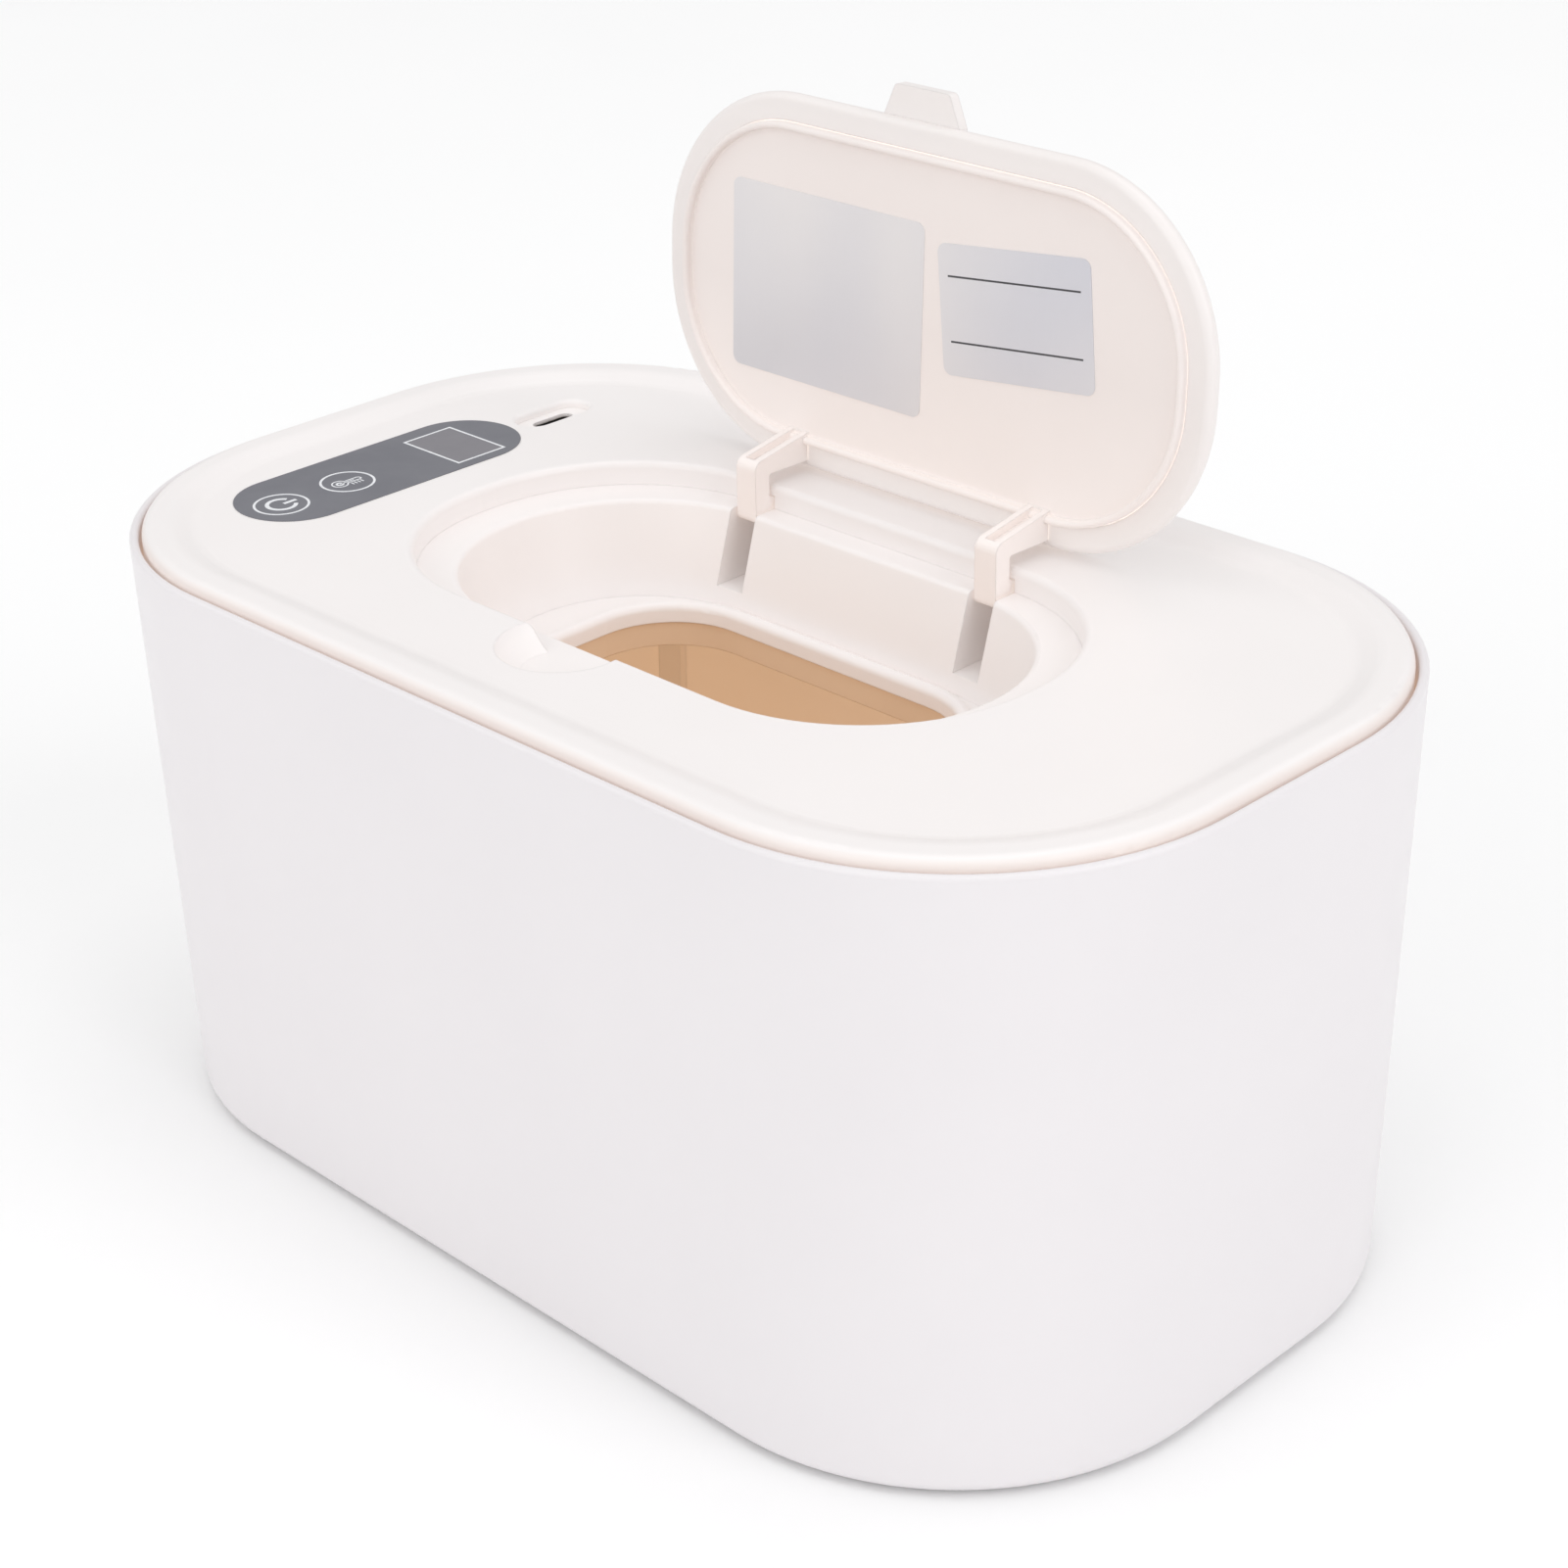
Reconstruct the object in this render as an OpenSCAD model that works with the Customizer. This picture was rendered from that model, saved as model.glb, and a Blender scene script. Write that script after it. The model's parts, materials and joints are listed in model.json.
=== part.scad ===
// Baby wipe warmer: tapered tub, lift-off cover with a heated dispensing well, and a flip lid.
// Millimetres. +X along the length, +Y to the hinge side, +Z up. Origin under the tub's centre.
// The lid is drawn standing open, as it rests against its stop.

/* [Tub] */
// Length of the tub at the rim
tub_w = 210; // [206:1:240]
// Depth of the tub at the rim
tub_d = 126.4; // [123:0.2:150]
// Height of the tub without its feet
tub_h = 99.8; // [85:0.2:130]
// Corner radius at the rim, seen from above
tub_r = 48.2; // [44:0.2:50.6]
// How far each side leans in from rim to base
tub_taper = 2; // [1:0.1:6]
// Radius of the tub's lower edge
tub_foot_r = 2.2; // [1:0.1:4]
// Thickness of the tub's wall
tub_wall = 2.4; // [2:0.1:3.2]
// Thickness of the tub's floor
tub_floor = 2.6; // [2:0.1:4]
// Thickness of the thin rim above the ledge
rim_wall = 1.5; // [1.4:0.1:2]
// Depth from the rim down to the ledge that carries the cover
ledge_drop = 6; // [5:0.2:9]
// Reach of the ledge from the rim's outer face
ledge_reach = 5.4; // [4.8:0.1:6]
// Height of the ledge's sloped underside
ledge_h = 4; // [3:0.2:6]
// Width of an upright rib inside the rear wall
rib_w = 3.8; // [2:0.1:6]
// Distance of each upright rib from the middle
rib_x = 76; // [60:1:80]
// Height of the upright ribs over the tub's floor
rib_h = 80; // [40:1:82]
// How far a rib stands in from the wall
rib_out = 1.4; // [0.8:0.1:3]

/* [Feet] */
// Diameter of a foot
foot_d = 12; // [8:0.5:18]
// How far a foot stands out under the tub
foot_out = 0.8; // [0.5:0.1:2]
// How deep a foot sits in the floor
foot_in = 0.8; // [0.5:0.1:1.4]
// Distance of the feet from the middle, along the length
foot_x = 72; // [50:1:76]
// Distance of the feet from the middle, along the depth
foot_y = 34; // [20:1:38]

/* [Cover] */
// Gap all round between the rim and the cover
cover_gap = 0.5; // [0.4:0.1:1.2]
// Height of the cover's border over the rim
border_rise = 1.4; // [0.8:0.1:2.4]
// Radius of the cover's outer shoulder
shoulder_r = 1.8; // [1.4:0.1:2.4]
// Width of the flat border, with its shoulder
border_w = 4.8; // [4.2:0.2:8]
// Width of the slope from the border down to the panel
slope_w = 3.6; // [3:0.2:6]
// Radius that eases the slope into the border and into the panel
slope_r = 4; // [3:0.5:4.5]
// Thickness of the cover's top skin
cover_skin = 2; // [1.6:0.1:2.6]
// Thickness of the cover's skirt
skirt_t = 2.2; // [1.6:0.1:2.4]

/* [Well] */
// Place of the well along the length
well_x = 1; // [-2:0.1:3]
// Place of the well along the depth
well_y = -2.3; // [-4:0.1:0]
// Length of the well's upper wall
well_w = 116.8; // [112:0.2:118]
// Depth of the well's upper wall, front to back
well_d = 63.2; // [61.6:0.2:64]
// Length of the straight part at each end of the well
well_flat = 3; // [1:0.2:6]
// Radius of the well's upper edge
well_edge_r = 1.2; // [0.8:0.1:1.4]
// Drop from the panel to the lid seat
seat_drop = 4; // [3.8:0.1:4.6]
// Width of the lid seat at the well's ends
seat_end = 7; // [6.6:0.1:8]
// Width of the lid seat at the well's front and back
seat_side = 4.4; // [4:0.1:5]
// Length of the straight part at each end of the seat's inner edge
seat_flat = 0.6; // [0.4:0.2:6]
// Radius of the seat's inner edge
seat_edge_r = 1; // [0.5:0.1:1.4]
// Drop from the panel to the well's floor
floor_drop = 19.5; // [19:0.1:22]
// How far the sloped wall leans in from seat to floor
wall_lean = 4.6; // [3:0.1:5]
// Thickness of the well's walls and floor
well_skin = 2; // [1.6:0.1:2.4]
// Length of the dispensing opening
mouth_w = 72; // [64:0.5:76]
// Depth of the dispensing opening
mouth_d = 38.8; // [34:0.2:39.6]
// Corner radius of the dispensing opening
mouth_r = 14.4; // [10:0.2:16]
// Radius of the bead round the opening
bead_r = 1.3; // [0.8:0.1:1.4]
// Radius of the finger scoop at the top of the cover
scoop_r = 10; // [9:0.2:12]
// Depth that the scoop's ball reaches below the cover
scoop_deep = 6; // [5:0.2:7]
// How far the scoop's middle stands out from the well's front edge
scoop_out = 2.4; // [1:0.2:3]

/* [Lid] */
// Gap between lid and well at the ends
lid_end_gap = 1.3; // [0.6:0.1:1.6]
// Gap between lid and well at front and back
lid_side_gap = 1; // [0.9:0.1:1.2]
// Length of the straight part at each end of the lid
lid_flat = 4; // [2:0.2:5.6]
// Height of the closed lid over the panel
lid_rise = 0.8; // [0.4:0.1:1.4]
// Radius of the lid's outer edge
lid_edge_r = 2; // [1.6:0.1:2.4]
// Radius under the lid's widest line
lid_under_r = 1.3; // [0.8:0.1:1.4]
// Thickness of the lid shell's skin
lid_skin = 1.6; // [1.2:0.1:1.8]
// Thickness of the liner's plate
liner_t = 1.4; // [1.1:0.1:1.5]
// Distance of the liner's edge from the lid's widest line
liner_in = 4.3; // [4.1:0.1:4.9]
// Gap between the liner's edge and the lid's shell
liner_gap = 0.1; // [0.05:0.05:0.2]
// Width of the raised lip
lip_w = 1.2; // [0.8:0.1:1.8]
// Gap between the closed lip and its seat
lip_gap = 0.1; // [0.05:0.05:0.3]
// Width of the pull tab where it leaves the lid
tab_w = 15.6; // [14:0.2:19]
// Width of the pull tab at its end
tab_tip_w = 11.2; // [9:0.1:13.4]
// Length of the pull tab
tab_l = 5; // [4:0.1:5.4]
// Radius of the tab's tip corners
tab_tip_r = 1; // [0.4:0.1:1.6]
// How far the pull tab stands off the lid's middle, to the right
tab_off = -2; // [-4:0.2:4]
// Thickness of the pull tab
tab_t = 1.8; // [1.4:0.1:2.2]

/* [Hinge] */
// Distance of the hinge axis behind the well's rear edge
pivot_behind = 5.2; // [4.8:0.1:5.6]
// Drop from the panel to the hinge axis
pivot_drop = 5.5; // [5.4:0.1:5.8]
// How far past upright the open lid leans
lid_lean = 2.5; // [1:0.5:3]
// Distance of each hinge arm from the lid's middle
arm_x = 26; // [20:0.5:32]
// Width of a hinge arm
arm_w = 4.4; // [3.6:0.1:5]
// Width of one flange of a hinge arm
flange_w = 1.2; // [0.8:0.1:1.4]
// Radius of the eye round the pin
eye_r = 3.2; // [2.8:0.1:3.3]
// Distance of an arm's front face ahead of the pin
arm_reach = 9; // [8.6:0.1:10.4]
// Thickness of an arm's upright part
arm_t = 3.2; // [2.8:0.1:4.4]
// Radius of an arm's outer elbow
elbow_r = 1.9; // [1:0.1:2.2]
// Radius of an arm's toe
toe_r = 1.1; // [0.6:0.1:1.6]
// Height of the toe's underside over the pin
toe_up = -0.5; // [-1:0.1:0.6]
// Size of the slanted corner inside an arm
inner_cut = 1.6; // [0.8:0.1:2]
// Height over the pin of the underside of an arm's crossbar
bar_under = 7.6; // [7.5:0.1:8.2]
// Thickness of the crossbar at its elbow
bar_t = 2.9; // [2:0.1:3]
// Thickness of the crossbar where it joins the lid
bar_root_t = 4.8; // [3.6:0.1:5.4]
// Depth of the groove between an arm's flanges
groove_drop = 1.4; // [0.8:0.1:1.6]
// How far behind an arm's front face the groove ends
groove_in = 1.2; // [0.8:0.1:2]
// Diameter of a hinge pin
pin_d = 2; // [1.6:0.1:2.6]
// Radial running clearance of the pin in the eye
pin_play = 0.05; // [0.02:0.01:0.1]
// Clearance on each side of an arm in its slot
slot_side_gap = 0.5; // [0.4:0.1:1.6]
// Depth of a slot under the panel
slot_drop = 16.5; // [16.4:0.1:17.4]
// Thickness of a slot pocket's walls
pocket_wall = 1.6; // [1.2:0.1:2]
// Thickness of the skin over a slot pocket
roof_t = 1.8; // [1.4:0.1:1.9]
// Gap behind the eye in its pocket
pocket_gap = 0.7; // [0.4:0.1:1.2]

/* [Control panel] */
// Distance of the panel's middle from the well's end
panel_off = 19.6; // [18:0.2:20]
// Place of the panel along the depth
panel_y = -9.2; // [-12:0.2:-8]
// Width of the panel
panel_w = 20.2; // [18:0.2:22]
// Length of the panel
panel_l = 55.6; // [52:0.2:57]
// Thickness of the panel
panel_t = 0.8; // [0.5:0.1:1]
// How far the panel stands over the cover
panel_proud = 0.1; // [0:0.05:0.2]
// Width of the display window
window_w = 14.4; // [12:0.2:15]
// Length of the display window
window_l = 10; // [9:0.2:12]
// Distance of the window's middle from the panel's middle
window_off = 15.6; // [14:0.2:17]
// Distance of the power key from the panel's middle
power_off = -21; // [-22:0.2:-19]
// Distance of the temperature key from the panel's middle
heat_off = -7.4; // [-9:0.2:-6]
// Diameter of a touch pad
pad_d = 8; // [6:0.2:9]
// Clearance of the display in its window
window_gap = 0.4; // [0.2:0.1:0.8]

/* [Inlet] */
// Distance of the inlet behind the panel's middle
inlet_off = 37.6; // [37.2:0.2:41]
// How far the inlet stands from the panel's middle line, towards the well
inlet_side = 1; // [0:0.1:2]
// Length of the inlet's recess
recess_l = 14.8; // [12:0.2:15.2]
// Width of the inlet's recess
recess_w = 6.4; // [5.6:0.2:7]
// Depth of the inlet's recess
recess_drop = 1.4; // [1:0.1:1.6]
// Straight part of the recess's rounded ends
recess_flat = 0.2; // [0.1:0.1:1]
// Radius of the recess's edge
recess_edge_r = 0.8; // [0.4:0.1:1]
// Length of the socket's shell
socket_l = 8.94; // [8.8:0.02:9.1]
// Width of the socket's shell
socket_w = 3.2; // [3.1:0.02:3.4]
// Thickness of the socket's sheet
socket_t = 0.3; // [0.2:0.05:0.35]
// Clearance between the socket and the cover's skin
socket_gap = 0.2; // [0.1:0.05:0.3]
// Thickness of the socket's tongue
tongue_t = 0.7; // [0.6:0.05:0.8]
// Length of the socket's tongue
tongue_l = 6.7; // [6:0.1:7]
// How far the tongue stays under the socket's mouth
tongue_drop = 0.8; // [0.5:0.1:1.5]

/* [Electronics] */
// Thickness of the control board
board_t = 1.6; // [1:0.1:2]
// Width of the control board
board_w = 24; // [22:0.5:25]
// Length of the control board
board_l = 72; // [70:0.5:73]
// Drop from the panel to the board's upper face
board_drop = 9; // [8:0.2:11]
// Distance of the board's screws from its edges
board_margin = 3; // [2.8:0.1:4]
// Clearance between the well and the housing's inner wall
housing_gap = 0.2; // [0.1:0.1:1]
// Drop from the panel to the housing's underside
housing_drop = 40; // [34:0.5:44]
// Distance of the housing from the cover's outer edge
housing_in = 4; // [3.8:0.1:6]
// Thickness of the housing's walls
housing_wall = 1.8; // [1.4:0.1:2.2]
// Diameter of a screw post
post_d = 7; // [6:0.2:8]
// Distance of the housing's inner screws from the middle
housing_post_y = 46; // [42:0.5:48]
// Diameter of a screw's shank
screw_d = 2.6; // [2:0.1:3]
// Diameter of a screw's head
head_d = 5; // [4:0.1:5.4]
// Height of a screw's head
head_h = 1.6; // [1.2:0.1:2]
// Length of a screw under its head
screw_l = 8; // [6:0.5:9]

/* [Heater] */
// Length of the heater frame
frame_w = 112; // [108:0.5:113]
// Depth of the heater frame
frame_d = 84; // [80:0.5:88]
// Corner radius of the heater frame
frame_r = 20; // [16:0.5:24]
// Thickness of the heater frame's wall
frame_wall = 2; // [1.6:0.1:2.4]
// Width of the frame's ledge under the plate
frame_ledge = 5; // [3:0.2:6]
// Thickness of the frame's ledge
frame_t = 1.5; // [1.2:0.1:2]
// Clearance between plate and frame
plate_gap = 0.3; // [0.2:0.05:0.6]
// Thickness of the heater plate
plate_t = 1; // [0.8:0.1:1.5]
// Thickness of the heater film
film_t = 0.4; // [0.3:0.05:0.6]
// Thickness of the insulation pad
pad_t = 3; // [3:0.1:4]
// How much larger than the mouth the plate's opening is, all round
plate_mouth_gap = 0.6; // [0.3:0.1:1.5]
// Distance of the frame's ears from the well's middle
ear_x = 40; // [36:0.5:44]
// Thickness of an ear
ear_t = 2; // [1.6:0.1:2.6]
// Diameter of the thermistor and the thermal fuse
sensor_d = 2.8; // [2:0.1:2.9]
// Length of the thermistor and the thermal fuse
sensor_l = 8; // [6:0.5:10]
// Distance of the sensors in from the plate's end
sensor_in = 2; // [1:0.5:4]
// Distance of each sensor from the well's middle, along the depth
sensor_y = 12; // [10:0.5:16]
// Diameter of a lead
lead_d = 1.4; // [1:0.1:1.6]
// Distance of each heater lead from the well's middle
lead_y = 4; // [3:0.5:6]
// Bend radius of a lead
lead_bend = 3; // [2:0.5:4]
// Distance of a lead's bend from the housing's wall
lead_off = 2; // [1:0.5:3]
// How much further the film and the insulation stay back from the opening
film_back = 2; // [1:0.5:4]

/* [Labels] */
// Length of the large label
label_a_w = 42; // [36:0.5:46]
// Height of the large label
label_a_h = 31.5; // [26:0.5:34]
// Length of the small label
label_b_w = 30.5; // [26:0.5:34]
// Height of the small label
label_b_h = 20.8; // [18:0.2:24]
// Thickness of a label
label_t = 0.12; // [0.1:0.02:0.2]
// Corner radius of a label
label_r = 1.6; // [1:0.1:2.4]
// Distance of the large label's middle to the left of the lid's middle
label_a_x = -20.4; // [-22:0.2:-19]
// Distance of the large label's middle from the lid's middle, towards the tab
label_a_y = -0.4; // [-2:0.2:2]
// Distance of the small label's middle to the right of the lid's middle
label_b_x = 19.6; // [19.4:0.2:22]
// Distance of the small label's middle from the lid's middle, towards the tab
label_b_y = 4.4; // [3:0.2:6]
// Turn of the small label on the lid
label_b_turn = 6.4; // [0:0.4:8]

/* [Hidden] */
$fn = 96;

over = 1;
fit_gap = 0.2;
ear_gap = 0.5;
top_z = foot_out + tub_h;
lean_angle = atan(tub_taper / tub_h);
ledge_z = top_z - ledge_drop;
cover_in = rim_wall + cover_gap;
cover_w = tub_w - 2 * cover_in;
cover_d = tub_d - 2 * cover_in;
cover_r = tub_r - cover_in;
well_r = (well_d - well_flat) / 2;
seat_w = well_w - 2 * seat_end;
seat_d = well_d - 2 * seat_side;
seat_r = (seat_d - seat_flat) / 2;
lid_w = well_w - 2 * lid_end_gap;
lid_d = well_d - 2 * lid_side_gap;
lid_r = (lid_d - lid_flat) / 2;
lid_wide_z = lid_rise - lid_edge_r;
lid_face_z = lid_wide_z - lid_under_r;
lip_in = liner_in + liner_gap;
lip_z = lip_gap - seat_drop;
lid_open = 90 + lid_lean;
pivot_back = well_d / 2 + pivot_behind;
pivot_y = well_y + pivot_back;
pivot_z = top_z - pivot_drop;
slot_w = arm_w + 2 * slot_side_gap;
pocket_end = pivot_y + eye_r + pocket_gap;
well_under = floor_drop + well_skin;
panel_x = well_x - well_w / 2 - panel_off;
inlet_x = panel_x + inlet_side;
inlet_y = panel_y + inlet_off;
recess_r = (recess_w - recess_flat) / 2;
socket_top = cover_skin + socket_gap;
board_z = top_z - board_drop;
housing_x = well_x - well_w / 2 - well_skin - housing_gap;
housing_w = cover_w - 2 * housing_in;
housing_d = cover_d - 2 * housing_in;
housing_r = cover_r - housing_in;
post_r = post_d / 2;
pilot_d = screw_d;
screw_hole_d = screw_d + 2 * fit_gap;
lead_hole_d = lead_d + 2 * fit_gap;
film_top = top_z - well_under - pad_t;
plate_top = film_top - film_t;
frame_top = plate_top - plate_t;
collar_top = film_top + pad_t - fit_gap;
ear_y = frame_d / 2 + post_r + ear_gap;
ear_z = top_z - well_under;
plate_w = frame_w - 2 * (frame_wall + plate_gap);
plate_d = frame_d - 2 * (frame_wall + plate_gap);
plate_r = frame_r - frame_wall - plate_gap;
lead_z = film_top + lead_d / 2;
lead_end = well_x - plate_w / 2 + sensor_in;
board_in = board_w / 2 - board_margin;
board_end = board_l / 2 - board_margin;

// Rounded rectangle of length w, depth d and corner radius r.
module outline(w, d, r) {
    square([w - 2 * r, d], center = true);
    square([w, d - 2 * r], center = true);
    for (sx = [-1, 1], sy = [-1, 1])
        translate([sx * (w / 2 - r), sy * (d / 2 - r)])
            circle(r);
}

module slab(w, d, r, z0, z1) {
    translate([0, 0, z0])
        linear_extrude(z1 - z0)
            outline(w, d, r);
}

// Carries a profile round a rounded rectangle: x is outward from the outline, y is up.
module around(w, d, r) {
    a = w / 2 - r;
    b = d / 2 - r;
    for (k = [[a, b, 0], [-a, b, 90], [-a, -b, 180], [a, -b, 270]])
        translate([k[0], k[1], 0])
            rotate([0, 0, k[2]])
                rotate_extrude(angle = 90)
                    translate([r, 0])
                        children();
    for (turn = [0, 180])
        rotate([0, 0, turn])
            translate([w / 2, 0, 0])
                rotate([90, 0, 0])
                    linear_extrude(2 * b, center = true)
                        children();
    for (turn = [90, 270])
        rotate([0, 0, turn])
            translate([d / 2, 0, 0])
                rotate([90, 0, 0])
                    linear_extrude(2 * a, center = true)
                        children();
}

// Solid whose edge profile, drawn from x = -band outward, is carried round a filled core.
module filled(w, d, r, z0, z1, band) {
    core_in = band - over;
    around(w, d, r)
        children();
    slab(w - 2 * core_in, d - 2 * core_in, r - core_in, z0, z1);
}

// Rounded slab that is in0 smaller all round at z0 and in1 smaller at z1.
module tapered(w, d, r, z0, z1, in0, in1) {
    band = max(in0, in1) + 2 * over;
    filled(w, d, r, z0, z1, band)
        polygon([[-band, z0], [-in0, z0], [-in1, z1], [-band, z1]]);
}

module at_well() {
    translate([well_x, well_y, top_z])
        children();
}

// Places what is drawn as for the closed lid onto the open lid.
module as_open_lid() {
    translate([well_x, pivot_y, pivot_z])
        rotate([-lid_open, 0, 0])
            translate([0, -pivot_back, pivot_drop])
                children();
}

module screw() {
    cylinder(d = head_d, h = head_h);
    translate([0, 0, head_h])
        cylinder(d = screw_d, h = screw_l);
}

// ---- Tub ----

module tub_outside() {
    corner_x = -tub_taper + tub_foot_r * tan(lean_angle) - tub_foot_r / cos(lean_angle);
    band = tub_taper + tub_foot_r + 2 * over;
    translate([0, 0, foot_out])
        filled(tub_w, tub_d, tub_r, 0, tub_h - rim_wall / 2, band) {
            union() {
                polygon([
                    [-band, 0],
                    [corner_x, 0],
                    [corner_x + tub_foot_r * cos(lean_angle), tub_foot_r * (1 - sin(lean_angle))],
                    [-tan(lean_angle) * rim_wall / 2, tub_h - rim_wall / 2],
                    [-band, tub_h - rim_wall / 2]
                ]);
                translate([corner_x, tub_foot_r])
                    circle(tub_foot_r);
            }
        }
}

module tub_inside() {
    tapered(tub_w, tub_d, tub_r, foot_out + tub_floor, top_z - ledge_drop + over,
        tub_wall + tub_taper * (1 - tub_floor / tub_h),
        tub_wall + tub_taper * (ledge_drop - over) / tub_h);
    slab(tub_w - 2 * rim_wall, tub_d - 2 * rim_wall, tub_r - rim_wall, ledge_z, top_z + over);
}

module tub_ledge() {
    around(tub_w, tub_d, tub_r)
        polygon([
            [-tub_wall, ledge_z],
            [-tub_wall, ledge_z - ledge_h],
            [-ledge_reach, ledge_z - ledge_h + ledge_reach - tub_wall],
            [-ledge_reach, ledge_z]
        ]);
}

module tub_rib(side) {
    intersection() {
        tub_outside();
        difference() {
            translate([side * rib_x - rib_w / 2, 0, foot_out + tub_floor - over])
                cube([rib_w, tub_d / 2 - tub_wall / 2, rib_h + over]);
            tapered(tub_w, tub_d, tub_r, foot_out, top_z,
                tub_wall + rib_out + tub_taper, tub_wall + rib_out);
        }
    }
}

module body_shell() {
    color([0.93, 0.925, 0.93])
        difference() {
            union() {
                difference() {
                    tub_outside();
                    tub_inside();
                }
                tub_ledge();
                around(tub_w, tub_d, tub_r)
                    translate([-rim_wall / 2, top_z - rim_wall / 2])
                        circle(rim_wall / 2);
                for (side = [-1, 1])
                    tub_rib(side);
            }
            for (sx = [-1, 1], sy = [-1, 1])
                translate([sx * foot_x, sy * foot_y, foot_out - over])
                    cylinder(d = foot_d, h = foot_in + over);
        }
}

module foot(sx, sy) {
    color([0.82, 0.82, 0.82])
        translate([sx * foot_x, sy * foot_y, 0])
            cylinder(d = foot_d, h = foot_in + foot_out);
}

module foot_front_left() { foot(-1, -1); }
module foot_front_right() { foot(1, -1); }
module foot_rear_left() { foot(-1, 1); }
module foot_rear_right() { foot(1, 1); }

// ---- Cover ----

module at_housing_posts() {
    near_x = housing_x - housing_wall - post_r - fit_gap;
    far_x = housing_wall + post_r + fit_gap - housing_w / 2;
    for (place = [[near_x, -housing_post_y], [near_x, housing_post_y], [far_x, 0]])
        translate([place[0], place[1], top_z])
            children();
}

module at_board_posts() {
    for (sx = [-1, 1], sy = [-1, 1])
        translate([panel_x + sx * board_in, sy * board_end, top_z])
            children();
}

module at_ears() {
    for (sx = [-1, 1], sy = [-1, 1])
        translate([well_x + sx * ear_x, well_y + sy * ear_y, top_z])
            children();
}

// The dish inside the border: a slope eased by an arc at its top and at its foot.
module dished_space() {
    slope_a = atan(border_rise / slope_w);
    ease = slope_r * tan(slope_a / 2);
    foot_x = -border_w - slope_w;
    foot_end = foot_x + ease * cos(slope_a);
    band = border_w + slope_w + ease + 2 * over;
    translate([0, 0, top_z])
        filled(cover_w, cover_d, cover_r, 0, border_rise, band)
            union() {
                difference() {
                    polygon([
                        [-band, 0],
                        [foot_x - ease, 0],
                        [foot_end, ease * sin(slope_a)],
                        [-border_w - ease * cos(slope_a), border_rise - ease * sin(slope_a)],
                        [ease - border_w, border_rise],
                        [-band, border_rise]
                    ]);
                    translate([ease - border_w, border_rise - slope_r])
                        circle(slope_r);
                }
                intersection() {
                    translate([foot_x - ease, slope_r])
                        circle(slope_r);
                    translate([foot_x - ease, 0])
                        rotate([0, 0, slope_a / 2])
                            translate([-ease, -ease])
                                square([4 * ease, ease]);
                }
            }
}

module cover_plate() {
    border_z = top_z + border_rise;
    band = shoulder_r + 2 * over;
    difference() {
        filled(cover_w, cover_d, cover_r, ledge_z, border_z, band) {
            union() {
                polygon([
                    [-band, ledge_z],
                    [0, ledge_z],
                    [0, border_z - shoulder_r],
                    [-shoulder_r, border_z],
                    [-band, border_z]
                ]);
                translate([-shoulder_r, border_z - shoulder_r])
                    circle(shoulder_r);
            }
        }
        dished_space();
        slab(cover_w - 2 * skirt_t, cover_d - 2 * skirt_t, cover_r - skirt_t,
            ledge_z - over, top_z - cover_skin);
    }
}

module well_block() {
    at_well() {
        slab(well_w + 2 * well_skin, well_d + 2 * well_skin, well_r + well_skin,
            -seat_drop - well_skin, -cover_skin / 2);
        tapered(seat_w + 2 * well_skin, seat_d + 2 * well_skin, seat_r + well_skin,
            -well_under, -seat_drop, wall_lean, 0);
    }
}

// What the rounding of the seat's inner edge takes away.
module seat_rounding() {
    lean = atan(wall_lean / (floor_drop - seat_drop));
    back = seat_edge_r * (1 - sin(lean)) / cos(lean);
    foot_x = back - seat_edge_r * cos(lean);
    foot_z = seat_edge_r * (sin(lean) - 1) - seat_drop;
    around(seat_w, seat_d, seat_r)
        difference() {
            polygon([
                [back, over - seat_drop],
                [-over, over - seat_drop],
                [-over, foot_z],
                [foot_x, foot_z],
                [back, -seat_drop]
            ]);
            translate([back, -seat_edge_r - seat_drop])
                circle(seat_edge_r);
        }
}

module well_space() {
    at_well() {
        slab(well_w, well_d, well_r, -seat_drop, border_rise + over);
        around(well_w, well_d, well_r)
            difference() {
                translate([-well_edge_r, -well_edge_r])
                    square([2 * well_edge_r, 2 * well_edge_r]);
                translate([well_edge_r, -well_edge_r])
                    circle(well_edge_r);
            }
        tapered(seat_w, seat_d, seat_r, -floor_drop, -seat_drop, wall_lean, 0);
        seat_rounding();
        slab(mouth_w, mouth_d, mouth_r, -well_under - over, -floor_drop + over);
        scoop_space();
    }
}

// A ball's hollow for the fingertip, cut flat at the seat's level.
module scoop_space() {
    ball_r = (scoop_r * scoop_r + scoop_deep * scoop_deep) / (2 * scoop_deep);
    intersection() {
        translate([tab_off, -well_d / 2 - scoop_out, ball_r - scoop_deep])
            sphere(ball_r);
        translate([tab_off - ball_r, -well_d / 2 - scoop_out - ball_r, -seat_drop])
            cube([2 * ball_r, 2 * ball_r, seat_drop + over]);
    }
}

module scoop_block() {
    at_well()
        translate([tab_off, -well_d / 2 - scoop_out, -seat_drop - well_skin])
            cylinder(r = scoop_r + well_skin, h = seat_drop + well_skin - cover_skin / 2);
}

module mouth_bead() {
    at_well()
        around(mouth_w + 2 * bead_r, mouth_d + 2 * bead_r, mouth_r + bead_r)
            translate([0, -floor_drop])
                circle(bead_r);
}

module slot_pocket(side) {
    front = well_y + seat_d / 2 - wall_lean;
    wide = slot_w + 2 * pocket_wall;
    translate([well_x + side * arm_x - wide / 2, front, top_z - slot_drop - pocket_wall])
        cube([wide, pocket_end + pocket_wall - front, slot_drop + pocket_wall - cover_skin / 2]);
}

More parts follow.
